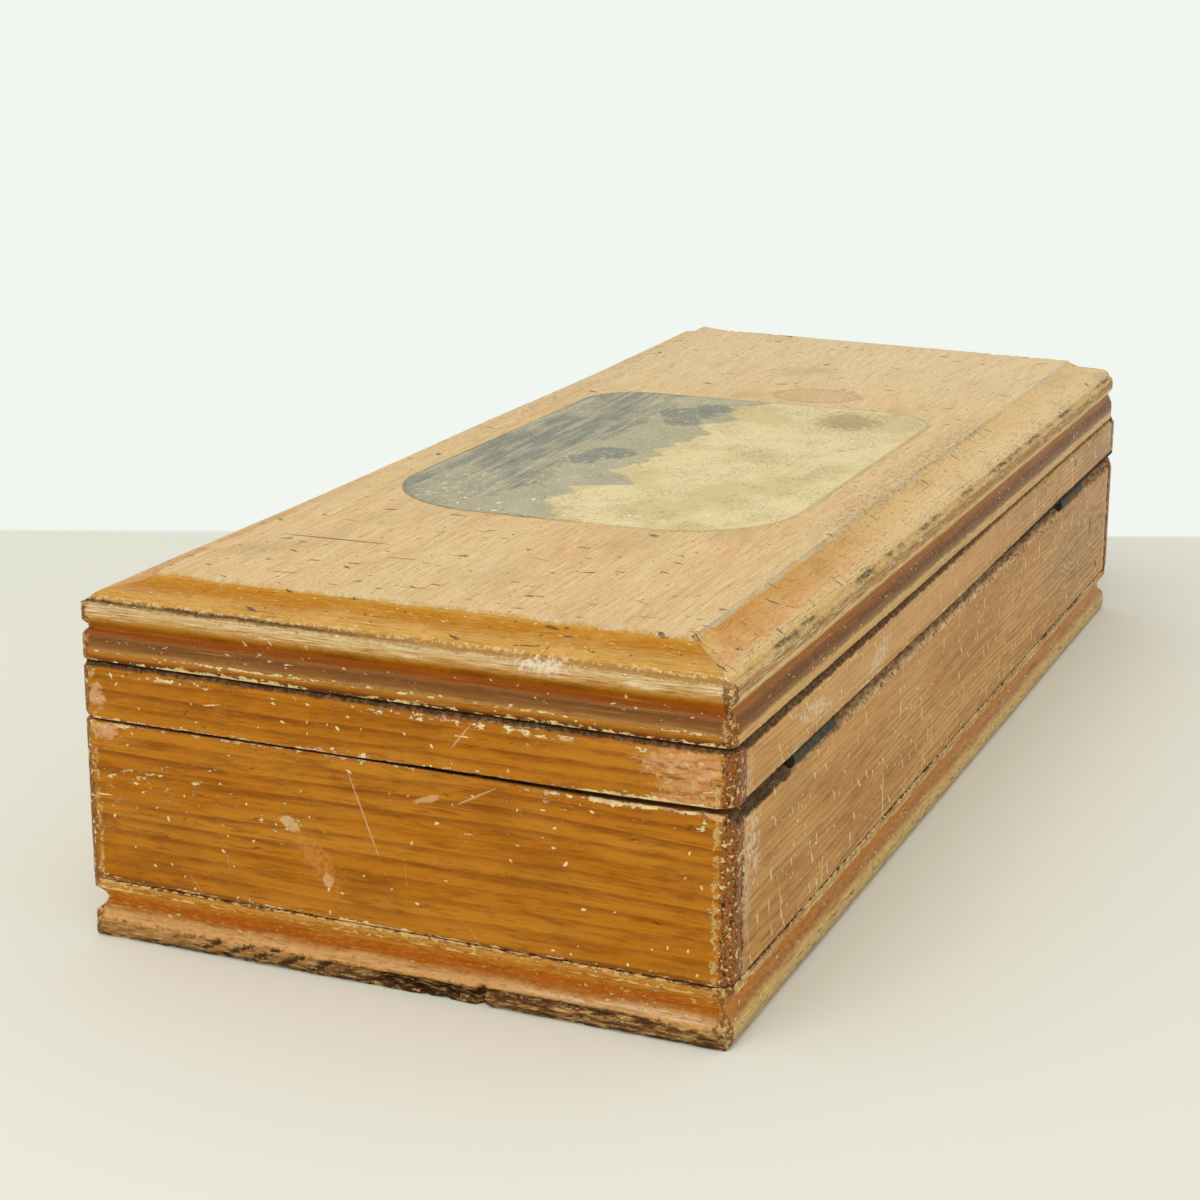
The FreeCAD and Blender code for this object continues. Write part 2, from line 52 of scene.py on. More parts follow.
# The places that the frame gives.
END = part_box("box_right_end")[1].x  # the end boards' outer faces
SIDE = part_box("box_back")[1].y  # the long walls' outer faces
BASE_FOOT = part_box("base_board")[0].z
BASE_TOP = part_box("box_right_end")[0].z
RIM_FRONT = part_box("box_front")[1].z
RIM_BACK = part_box("box_back")[1].z
BEVEL_FOOT = 35.2 * MM  # the back rim is bevelled down to here
BEVEL_WIDTH = 1.3 * MM
RAIL_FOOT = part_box("lid_right_rail")[0].z
BOARD_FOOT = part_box("lid_right_rail")[1].z
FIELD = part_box("lid_board")[1].z
LAP_END = END - 5 * MM  # where the end boards' tongues lap the long walls
LID_SEAM = BOARD_FOOT - 0.45 * MM  # where the worn lid board meets its rails
BASE_SEAM = BASE_TOP - 0.4 * MM  # where the worn base board meets the walls

CORNER_RADIUS = 2.6 * MM  # upright corners, rubbed round
LID_FAR_RADIUS = 7.0 * MM  # the left back corners, rubbed most
BASE_FAR_RADIUS = 3.2 * MM
LID_WARP = 1.35 * MM  # the lid board's warp, before its shares of bow and curl

# In millimetres, as the finishes take them.
FIELD_INSET_ENDS = 9.2
FIELD_INSET_SIDES = 10.0
WALL = 7.5
INNER_END = END / MM - WALL
INNER_SIDE = SIDE / MM - WALL
RIM_DROPS = (0.30, 0.36)  # how far the saw cut's lower side falls, near the back and near the front
RAIL_SLOPE, RAIL_DROP = 60, 0.66  # its upper side falls evenly from the back, over this length and so far
RIM_DIP, RAIL_DIP = 0.15, 0.30  # how much further both fall at the right end's back


# Tools


def activate(piece):
    """Makes the piece the only selected object."""
    bpy.ops.object.select_all(action="DESELECT")
    piece.select_set(True)
    bpy.context.view_layer.objects.active = piece


def apply_modifier(piece, kind, **settings):
    """Adds a modifier with these settings and applies it."""
    modifier = piece.modifiers.new(kind.lower(), kind)
    for name, value in settings.items():
        setattr(modifier, name, value)
    activate(piece)
    bpy.ops.object.modifier_apply(modifier=modifier.name)


def numbers(items, name, width):
    """One property of a mesh's vertices or edges, as rows of numbers."""
    kind = np.int32 if name == "vertices" else np.float32
    values = np.empty(len(items) * width, kind)
    items.foreach_get(name, values)
    return values.reshape(-1, width)


def points_of(piece):
    return numbers(piece.data.vertices, "co", 3)


def put_points(piece, points):
    """Moves a mesh's vertices to these points."""
    piece.data.vertices.foreach_set("co", points.astype(np.float32).ravel())
    piece.data.update()


def fade(value, low, high):
    """0 up to low, 1 from high, and a soft step between them, in either order."""
    share = np.clip((value - low) / (high - low), 0, 1)
    return share * share * (3 - 2 * share)


# Moulded boards


def arc(start, end, depth, steps):
    """Points after start on an arc that stands depth outside its chord, or inside if depth is negative."""
    start, end = Vector(start), Vector(end)
    chord = end - start
    half_turn = 2 * math.atan2(2 * abs(depth), chord.length)
    radius = chord.length / (2 * math.sin(half_turn))
    outwards = Vector((-chord.y, chord.x)).normalized() * math.copysign(1, depth)
    points = []
    for step in range(1, steps + 1):
        turn = half_turn * (2 * step / steps - 1)
        along = (1 + math.sin(turn) / math.sin(half_turn)) / 2
        points.append(start + chord * along + outwards * radius * (math.cos(turn) - math.cos(half_turn)))
    return points


def straight(start, end, steps):
    """Evenly spaced points after start, up to end."""
    return [Vector(start).lerp(Vector(end), step / steps) for step in range(1, steps + 1)]


def lid_moulding(field_inset):
    """The lid board's edge from its underside to the field, as (inset, height) in millimetres."""
    run = [Vector((4.0, -0.45)), Vector((0.45, -0.45)), Vector((0.25, -0.37))]
    run += arc((0.25, -0.37), (0.25, 3.2), 0.2, 6)
    run += straight((0.25, 3.2), (1.15, 4.3), 2)
    run += arc((1.15, 4.3), (1.15, 5.3), -0.3, 3)
    run += straight((1.15, 5.3), (0.25, 6.4), 2)
    run += arc((0.25, 6.4), (0.35, 8.5), 0.2, 4)
    run += arc((0.35, 8.5), (1.3, 9.0), 0.15, 2)
    run += arc((1.3, 9.0), (4.6, 10.75), 0.45, 5)
    run += arc((4.6, 10.75), (field_inset - 0.2, 12.4), -0.35, 5)
    run += straight((field_inset - 0.2, 12.4), (field_inset, 12.9), 1)
    run += straight((field_inset, 12.9), (field_inset + 0.8, 12.9), 1)
    return run


def base_moulding():
    """The base board's edge from its underside to its top, as (inset, height) in millimetres."""
    run = [Vector((5.0, 0)), Vector((0.9, 0))]
    run += straight((0.9, 0), (0.35, 0.7), 2)
    run += arc((0.35, 0.7), (0.6, 4.3), 0.45, 8)
    run += arc((0.6, 4.3), (0, 8.5), -1.6, 9)
    run += straight((0, 8.5), (0, 10.0), 4)
    run += [Vector((0.15, 10.1)), Vector((4.0, 10.1)), Vector((9.0, 10.1))]
    return run


def select_runs(piece, axis):
    """Selects the edges that run along one axis."""
    mesh = bmesh.from_edit_mesh(piece.data)
    for edge in mesh.edges:
        run = edge.verts[1].co - edge.verts[0].co
        edge.select_set(abs(run[axis]) > 0.999 * run.length)
    bmesh.update_edit_mesh(piece.data)


def select_level_faces(piece, heights):
    """Selects the level faces at these heights whose middle is over the board's middle."""
    mesh = bmesh.from_edit_mesh(piece.data)
    for face in mesh.faces:
        middle = face.calc_center_median()
        over_middle = middle.xy.length < MM
        face.select_set(over_middle and any(abs(middle.z - height) < 0.1 * MM for height in heights))
    bmesh.update_edit_mesh(piece.data)


def moulded_board(name, foot, end_run, side_run, far_radius, open_top):
    """A board built up ring by ring along its mouldings, then divided finely enough to be worn."""
    rings = [(END - e.x * MM, SIDE - s.x * MM, foot + e.y * MM) for e, s in zip(end_run, side_run)]
    bpy.ops.mesh.primitive_plane_add(size=2, location=(0, 0, 0))
    piece = bpy.context.object
    piece.name = name
    bpy.ops.object.mode_set(mode="EDIT")
    bpy.ops.mesh.select_mode(type="FACE")
    bpy.ops.mesh.select_all(action="SELECT")
    bpy.ops.transform.resize(value=(rings[0][0], rings[0][1], 1), center_override=(0, 0, 0))
    bpy.ops.transform.translate(value=(0, 0, rings[0][2]))
    for before, after in zip(rings, rings[1:]):
        bpy.ops.mesh.extrude_region_move(TRANSFORM_OT_translate={"value": (0, 0, after[2] - before[2])})
        spread = (after[0] / before[0], after[1] / before[1], 1)
        bpy.ops.transform.resize(value=spread, center_override=(0, 0, 0))
    select_level_faces(piece, (rings[0][2], rings[-1][2]) if open_top else (rings[0][2],))
    bpy.ops.mesh.delete(type="ONLY_FACE")
    bpy.ops.mesh.select_mode(type="EDGE")
    for axis, cuts in ((0, (16, 17)), (1, (6, 17))):
        for number in cuts:
            select_runs(piece, axis)
            bpy.ops.mesh.subdivide(number_cuts=number)
    for rounds in range(2 if open_top else 1):
        bpy.ops.mesh.select_all(action="DESELECT")
        bpy.ops.mesh.select_non_manifold(extend=False, use_wire=False, use_multi_face=False)
        if rounds == 0 and open_top:
            keep_selected_below(piece, foot + MM)
        bpy.ops.mesh.edge_face_add()
    bpy.ops.mesh.select_all(action="SELECT")
    bpy.ops.mesh.normals_make_consistent(inside=False)
    bpy.ops.object.mode_set(mode="OBJECT")
    round_upright_corners(piece, far_radius)
    return piece


def keep_selected_below(piece, height):
    """Leaves only the selected edges under a height selected."""
    mesh = bmesh.from_edit_mesh(piece.data)
    for edge in mesh.edges:
        if edge.select and edge.verts[0].co.z > height:
            edge.select_set(False)
    bmesh.update_edit_mesh(piece.data)


def round_upright_corners(piece, far_radius):
    """Draws what stands past the rubbed corners back onto them. The left back corner has its own radius."""
    points = points_of(piece)
    left_back = (points[:, 0] < 0) & (points[:, 1] > 0)
    radius = np.where(left_back, far_radius, CORNER_RADIUS)[:, None]
    middle = np.array((END, SIDE)) - radius
    past = np.maximum(np.abs(points[:, :2]) - middle, 0)
    reach = np.linalg.norm(past, axis=1, keepdims=True)
    outside = (past.min(1) > 0) & (reach > radius)[:, 0]
    drawn = (middle + past * radius / np.maximum(reach, 1e-9))[outside]
    points[outside, :2] = np.sign(points[outside, :2]) * drawn
    put_points(piece, points)


# Walls and rails


def carved_copy(node, name, grain_size):
    """A finely divided copy of a node's board, without its material."""
    piece = bpy.data.objects.new(name, frame["nodes"][node].data.copy())
    bpy.context.collection.objects.link(piece)
    piece.data.materials.clear()
    activate(piece)
    bpy.ops.object.mode_set(mode="EDIT")
    bpy.ops.mesh.select_all(action="SELECT")
    bpy.ops.mesh.remove_doubles(threshold=0.01 * MM)
    bpy.ops.object.mode_set(mode="OBJECT")
    apply_modifier(piece, "REMESH", mode="VOXEL", voxel_size=grain_size)
    return piece


# Wear


def mark_edges(piece, reach):
    """Stores how far each spot stands out as "edge", fading over reach."""
    mesh = piece.data
    points = points_of(piece)
    normals = numbers(mesh.vertex_normals, "vector", 3)
    first, second = numbers(mesh.edges, "vertices", 2).T
    run = points[second] - points[first]
    length = np.linalg.norm(run, axis=1) + 1e-9
    bend = np.zeros(len(points))
    np.add.at(bend, first, -(normals[first] * run).sum(1) / length)
    np.add.at(bend, second, (normals[second] * run).sum(1) / length)
    bend /= np.maximum(np.bincount(np.concatenate((first, second)), minlength=len(points)), 1)
    near = length < 4 * MM
    first, second, keep = first[near], second[near], np.exp(-length[near] / reach)
    mask = np.clip(bend * 4, 0, 1)
    for _ in range(5):
        spread = mask.copy()
        np.maximum.at(spread, first, mask[second] * keep)
        np.maximum.at(spread, second, mask[first] * keep)
        mask = spread
    mesh.attributes.new("edge", "FLOAT", "POINT").data.foreach_set("value", mask.astype(np.float32))


def wear(piece, chip_depth=0.35 * MM):
    """Chips and softens the arrises, dents the faces and leaves them a little wavy from the plane."""
    mark_edges(piece, 1.1 * MM)
    points = points_of(piece)
    normals = numbers(piece.data.vertex_normals, "vector", 3)
    edge = numbers(piece.data.attributes["edge"].data, "value", 1)[:, 0]
    shift = len(piece.name)
    broad = noise_at(points, 11 * MM, shift)
    fine = noise_at(points, 1.5 * MM, shift + 7)
    chips = edge * fade(fine + 0.5 * broad, 0.22, 0.5)
    softened = edge * (0.16 + 0.1 * broad)
    dents = fade(noise_at(points, 2.6 * MM, shift + 3) + 0.3 * broad, 0.62, 0.85)
    joints = np.array((BASE_TOP, (RIM_FRONT + RAIL_FOOT) / 2, BOARD_FOOT))
    by_joint = np.abs(points[:, 2, None] - joints).min(1)
    tight = 0.3 + 0.7 * fade(by_joint, 0.4 * MM, 1.4 * MM)
    depth = (chips * chip_depth + softened * 0.4 * MM) * tight + dents * 0.12 * MM
    points -= normals * (depth + 0.05 * MM * noise_at(points, 24 * MM, shift + 5))[:, None]
    put_points(piece, points)
    activate(piece)
    bpy.ops.object.shade_smooth_by_angle(angle=math.radians(50))


def noise_at(points, size, shift):
    """A smooth noise from about -1 to 1 at each point."""
    scaled = points / size + shift
    return np.array([noise.noise(Vector(point)) for point in scaled])


def break_base_edge(piece):
    """Breaks a splinter out under the right end's nose, and a crack beside it with a thinner edge."""
    points = points_of(piece)
    low_end = np.nonzero((points[:, 0] > END - 6 * MM) & (points[:, 2] < 4.5 * MM))[0]
    place = points[low_end] / MM
    ragged = noise_at(points[low_end], 1.7 * MM, 3.0)
    along, height = place[:, 1], place[:, 2]
    hollow = fade(along, -8, 0) * fade(along, 15.2, 14.8) * fade(height, 3.1, 2.3) * fade(height, 0.3, 0.9)
    step = fade(along, 15.0, 15.3) * fade(along, 46, 38) * fade(height, 3.6, 3.0) * fade(height, 2.2, 2.8)
    crack = fade(np.abs(along - 15.0), 0.7, 0.2) * fade(height, 3.9, 3.2)
    fibres = 0.25 * ragged * fade(height, 3.2, 2.0)
    depth = hollow * (1.9 + 0.8 * ragged) + step * (0.8 + 0.3 * ragged) + crack * 1.5 + fibres
    points[low_end, 0] -= depth * MM
    put_points(piece, points)


def lift_far_corner(piece):
    """Bows the lid board up along its front and curls it at its left end, as it has warped."""
    points = points_of(piece)
    x, y, z = points.T
    bow = 0.56 * fade(x, 60 * MM, -30 * MM) - 0.2 * fade(x, -60 * MM, -130 * MM)
    curl = 2 * fade(x, -45 * MM, -185 * MM)
    along = curl + bow * fade(y, -39.5 * MM, -46 * MM)
    across = np.clip((SIDE - y) / (2 * SIDE), 0, 1)
    upper = np.clip((z - BOARD_FOOT) / (FIELD - BOARD_FOOT), 0, 1)
    points[:, 2] += LID_WARP * along * across * upper
    put_points(piece, points)


def tilt_split(piece):
    """Lets the saw cut between walls and rails fall towards the front, and at the right end's back."""
    points = points_of(piece)
    _, y, z = points.T
    rim_drop = RIM_DROPS[0] * fade(y, SIDE, 30 * MM) + RIM_DROPS[1] * fade(y, 0, -50 * MM)
    rail_drop = RAIL_DROP * np.clip((SIDE - y) / (RAIL_SLOPE * MM), 0, 1)
    if piece.name.startswith(("box_right_end", "lid_right_rail")):
        dip = fade(y, 5 * MM, 40 * MM)
        rim_drop += RIM_DIP * dip
        rail_drop += RAIL_DIP * dip
    above = z >= RAIL_FOOT - 0.1 * MM
    on_wall = rim_drop * fade(z, RIM_BACK - 6 * MM, RIM_BACK - 2 * MM) * ~above
    on_rail = rail_drop * fade(z, RAIL_FOOT + 6 * MM, RAIL_FOOT + 2 * MM) * above
    points[:, 2] -= MM * (on_wall + on_rail)
    put_points(piece, points)


def lower_seams(piece):
    """Draws a wall's foot and a rail's top down to the seams with the worn base and lid boards."""
    points = points_of(piece)
    height = points[:, 2]
    height -= (BASE_TOP - BASE_SEAM) * fade(height, BASE_TOP + 4 * MM, BASE_TOP + 0.5 * MM)
    height -= (BOARD_FOOT - LID_SEAM) * fade(height, BOARD_FOOT - 4 * MM, BOARD_FOOT - 0.5 * MM)
    put_points(piece, points)


def sink_joint(piece):
    """Rubs the outer faces back just under the lid board, where dirt has gathered in the joint."""
    points = points_of(piece)
    band = fade(points[:, 2], LID_SEAM - 1.3 * MM, LID_SEAM - 0.9 * MM)
    for axis, face in ((0, END), (1, SIDE)):
        outer = fade(np.abs(points[:, axis]), face - 1.2 * MM, face - 0.6 * MM)
        points[:, axis] -= np.sign(points[:, axis]) * outer * band * 0.45 * MM
    put_points(piece, points)


# Nodes


def paint(red, green, blue):
    """A colour as it is seen, from 0 to 255, turned into the linear one that a shader takes."""
    shares = [value / 255 for value in (red, green, blue)]
    return tuple(s / 12.92 if s <= 0.04045 else ((s + 0.055) / 1.055) ** 2.4 for s in shares) + (1.0,)


class Value:
    """What a node gives. It adds and multiplies as a number does, and takes soft steps."""

    def __init__(self, bench, socket):
        self.bench = bench
        self.socket = socket

    def __add__(self, other):
        return self.bench.math("ADD", self, other)

    def __sub__(self, other):
        return self.bench.math("SUBTRACT", self, other)

    def __rsub__(self, other):
        return self.bench.math("SUBTRACT", other, self)

    def __mul__(self, other):
        return self.bench.math("MULTIPLY", self, other)

    def __truediv__(self, other):
        return self.bench.math("DIVIDE", self, other)

    def __abs__(self):
        return self.bench.math("ABSOLUTE", self)

    __radd__ = __add__
    __rmul__ = __mul__

    def step(self, low, high, kind="SMOOTHSTEP"):
        """0 up to low and 1 from high, softly, or the other way round where high is the lower."""
        ends = (high, low, 1.0, 0.0) if low > high else (low, high, 0.0, 1.0)
        inputs = {"Value": self, **dict(enumerate(ends, 1))}
        return self.bench.value("MapRange", inputs, interpolation_type=kind)

    def band(self, start, end, soft):
        """1 between start and end, fading out over soft."""
        return self.step(start - soft, start + soft) * self.step(end + soft, end - soft)

    def around(self, share):
        """A noise value moved to swing share either side of nothing."""
        return (self - 0.5) * (share * 2)

    def lay(self, over, mask):
        """Lays a colour over this one where the mask says."""
        self.socket = self.bench.layer(self, over, mask).socket


class Bench:
    """Lays out the nodes of one material or group."""

    def __init__(self, tree):
        self.tree = tree

    def node(self, kind, inputs=None, **settings):
        item = self.tree.nodes.new("ShaderNode" + kind)
        for name, value in settings.items():
            setattr(item, name, value)
        for socket, value in (inputs or {}).items():
            self.feed(item.inputs[socket], value)
        return item

    def feed(self, socket, value):
        value = getattr(value, "socket", value)
        if isinstance(value, bpy.types.NodeSocket):
            self.tree.links.new(value, socket)
        else:
            socket.default_value = value

    def value(self, kind, inputs=None, output=0, **settings):
        """What a new node gives."""
        return Value(self, self.node(kind, inputs, **settings).outputs[output])

    def math(self, operation, *operands):
        return self.value("Math", dict(enumerate(operands)), operation=operation)

    def most(self, *values):
        total = values[0]
        for value in values[1:]:
            total = self.math("MAXIMUM", total, value)
        return total

    def scaled(self, vector, x, y, z):
        return self.value("VectorMath", {0: vector, 1: (x, y, z)}, operation="MULTIPLY")

    def noise(self, vector, scale, detail, roughness=0.5):
        """A noise with one scale, or with its own scale along each axis."""
        if isinstance(scale, tuple):
            vector, scale = self.scaled(vector, *scale), 1.0
        inputs = {"Vector": vector, "Scale": scale, "Detail": detail, "Roughness": roughness}
        return self.value("TexNoise", inputs)

    def split(self, vector):
        return [Value(self, output) for output in self.node("SeparateXYZ", {0: vector}).outputs]

    def join(self, x, y, z):
        return self.value("CombineXYZ", {0: x, 1: y, 2: z})

    def layer(self, under, over, mask):
        """One colour over another where the mask says. A tuple is a colour from 0 to 255."""
        under, over = (paint(*colour) if isinstance(colour, tuple) else colour for colour in (under, over))
        return self.value("Mix", {0: mask, 6: under, 7: over}, 2, data_type="RGBA")

    def ramp(self, value, low, high, stops):
        """Colours from low to high along a value, each stop as (value, red, green, blue)."""
        item = self.node("ValToRGB", {0: value.step(low, high, "LINEAR")})
        elements = item.color_ramp.elements
        while len(elements) < len(stops):
            elements.new(0.5)
        for element, (place, *colour) in zip(elements, stops):
            element.position = (place - low) / (high - low)
            element.color = paint(*colour)
        return Value(self, item.outputs[0])

    def mark(self, place, centre, size, turn, ragged, soft):
        """A ragged oval on a surface, about centre, with half sizes in millimetres, turned about Z."""
        inputs = {"Vector": place, 1: centre, 2: (0, 0, turn), 3: size}
        moved = self.value("Mapping", inputs, vector_type="TEXTURE")
        reach = self.value("VectorMath", {0: moved}, "Value", operation="LENGTH")
        edge = self.noise(place, 0.9, 4.0, 0.65).around(ragged)
        return (reach + edge).step(1.0 + soft / 2, 1.0 - soft / 2)

    def marks(self, face, *ovals):
        """Marks on a flat face: middle, half sizes, turn, raggedness, softness and strength of each."""
        found = []
        for x, y, half_long, half_high, *look, strength in ovals:
            found.append(self.mark(face, (x, y, 0), (half_long, half_high, 1), *look) * strength)
        return self.most(*found)

    def group(self, tree, inputs):
        """What a node group gives, by name."""
        outputs = self.node("Group", inputs, node_tree=tree).outputs
        return {output.name: Value(self, output) for output in outputs}


def new_group(name, inputs, outputs):
    """A shader node group. Returns its tree, bench, inputs and results. An input of None is a vector."""
    tree = bpy.data.node_groups.new(name, "ShaderNodeTree")
    for label, value in inputs.items():
        kind = "NodeSocketVector" if value is None else "NodeSocketFloat"
        socket = tree.interface.new_socket(label, in_out="INPUT", socket_type=kind)
        if value is not None:
            socket.default_value = value
    for label in outputs:
        tree.interface.new_socket(label, in_out="OUTPUT", socket_type="NodeSocketFloat")
    b = Bench(tree)
    given = {output.name: Value(b, output) for output in tree.nodes.new("NodeGroupInput").outputs}
    return tree, b, given, tree.nodes.new("NodeGroupOutput").inputs


def make_grain():
    """Growth rings and fibres of a board whose grain runs along X. All in millimetres."""
    inputs = {
        "Board": None, "Spacing": 2.6, "Pith Across": 40.0, "Pith Height": -120.0, "Lean": 0.0, "Wander": 3.0
    }
    tree, b, given, result = new_group("board grain", inputs, ("Ring", "Fibre", "Tone"))
    x, y, z = b.split(given["Board"])
    drift = b.noise(given["Board"], (0.011, 0.045, 0.045), 2.0, 0.5) - 0.5
    across = y - given["Pith Across"] - x * given["Lean"]
    up = z - given["Pith Height"]
    reach = b.math("SQRT", across * across + up * up)
    rings = (reach + drift * given["Wander"]) / given["Spacing"]
    turn = b.math("FRACT", rings)
    strength = b.value("TexWhiteNoise", {"W": b.math("FLOOR", rings)}, noise_dimensions="1D")
    line = turn.step(0.4, 0.9) * turn.step(1.0, 0.93)
    fibre = b.noise(given["Board"], (0.045, 1.5, 1.5), 5.0, 0.68)
    b.feed(result["Ring"], line * (strength * 0.6 + 0.4))
    b.feed(result["Fibre"], fibre)
    b.feed(result["Tone"], b.noise(given["Board"], (0.02, 0.12, 0.12), 2.0, 0.5))
    return tree


def make_bare():
    """Where the finish has come off: rubbed arrises, and flecks knocked out of the faces."""
    inputs = {"Board": None, "Edge": 0.0, "Flecks": 0.5}
    tree, b, given, result = new_group("bare wood", inputs, ("Bare",))
    fine = b.noise(given["Board"], (0.6, 1.3, 1.3), 5.0, 0.68)
    broad = b.noise(given["Board"], (0.05, 0.09, 0.09), 2.0, 0.5)
    here = given["Edge"] * (broad * 1.5 - 0.05)
    rubbed = (here + fine.around(0.9)).step(0.5, 0.6)
    crowd = fine + broad.around(0.2) + given["Flecks"] * 0.1
    b.feed(result["Bare"], b.most(rubbed, crowd.step(0.745, 0.78)))
    return tree


def make_dashes():
    """One short stroke in some of a face's cells, each turned its own way. In millimetres."""
    inputs = {
        "Face": None, "Cell": 5.0, "Share": 0.4, "Length": 1.5, "Width": 0.25, "Turn": 0.0, "Spread": 0.4
    }
    tree, b, given, result = new_group("dashes", inputs, ("Dash",))
    size = b.join(given["Cell"], given["Cell"], given["Cell"])
    inverse = b.value("VectorMath", {0: given["Face"], 1: size}, operation="DIVIDE")
    cells = b.node("TexVoronoi", {"Vector": inverse, "Scale": 1.0}, voronoi_dimensions="2D").outputs
    offset = b.value("VectorMath", {0: inverse, 1: cells["Position"]}, operation="SUBTRACT")
    right, up, _ = b.split(b.value("VectorMath", {0: offset, 1: size}, operation="MULTIPLY"))
    first, second, third = b.split(cells["Color"])
    turn = given["Turn"] + first.around(1.0) * given["Spread"]
    cosine, sine = b.math("COSINE", turn), b.math("SINE", turn)
    along = (right * cosine + up * sine) / given["Length"]
    across = (up * cosine - right * sine) / given["Width"]
    reach = b.math("SQRT", along * along + across * across)
    ragged = b.noise(given["Face"], 1.7, 3.0, 0.6).around(0.9)
    grown = (reach + ragged) * (2.3 - second * 1.3)
    pick = b.math("FRACT", first * 7.31 + third * 3.77)
    chosen = b.math("LESS_THAN", pick, given["Share"])
    b.feed(result["Dash"], chosen * grown.step(1.15, 0.8))
    return tree


GRAIN = make_grain()
BARE = make_bare()
DASHES = make_dashes()


def start_material(name):
    """A material, its bench, its shader and the place on the piece in millimetres."""
    material = bpy.data.materials.new(name)
    material.use_nodes = True
    bench = Bench(material.node_tree)
    shader = material.node_tree.nodes["Principled BSDF"]
    place = bench.scaled(bench.node("TexCoord").outputs["Object"], 1 / MM, 1 / MM, 1 / MM)
    return material, bench, shader, place


def finish_surface(b, shader, colour, roughness, height):
    """Feeds a shader its colour, roughness and relief in millimetres."""
    bump = b.node("Bump", {"Height": height, "Distance": MM, "Strength": 1.0})
    b.feed(shader.inputs["Base Color"], colour)
    b.feed(shader.inputs["Roughness"], roughness)
    b.feed(shader.inputs["Normal"], bump.outputs[0])
    shader.inputs["Specular IOR Level"].default_value = 0.1


def attribute(b, name):
    return b.value("Attribute", None, "Fac", attribute_name=name)


def bare_wood(b, board, edge, flecks):
    return b.group(BARE, {"Board": board, "Edge": edge, "Flecks": flecks})["Bare"]


def strokes(b, face, *sizes):
    """Short strokes over a face: cell size, share of cells, half sizes, mean turn and its spread."""
    names = ("Cell", "Share", "Length", "Width", "Turn", "Spread")
    return b.group(DASHES, {"Face": face, **dict(zip(names, sizes))})["Dash"]


def grained(b, board, rings, light, mid, dark, contrast, mottling=0.5):
    """The colour of grained wood, and its ring and fibre values."""
    found = b.group(GRAIN, {"Board": board, **rings})
    colour = b.layer(light, mid, found["Tone"].step(0.38, 0.62))
    streak = found["Fibre"].around(0.5)
    colour.lay(dark, streak.step(0.01, 0.2) * contrast * 0.7)
    colour.lay(light, streak.step(-0.02, -0.2) * contrast * 0.7)
    colour.lay(dark, found["Ring"] * contrast)
    mottle = b.noise(board, (0.14, 1.1, 1.1), 5.0, 0.74)
    colour.lay(dark, mottle.step(0.51, 0.64) * mottling)
    colour.lay(light, mottle.step(0.49, 0.36) * mottling)
    return colour, found


# Finishes

CREAM = (243, 219, 156)
PALE = (222, 184, 118)
PINK = (218, 166, 122)
PLAIN_WOOD = ((206, 168, 116), (194, 150, 98), (158, 112, 68))


def inside_walls(x, y, reach):
    """1 within the walls' inner faces, fading out just into the walls."""
    within_ends = abs(x).step(INNER_END + reach, INNER_END + 0.2)
    return within_ends * abs(y).step(INNER_SIDE + reach, INNER_SIDE + 0.2)


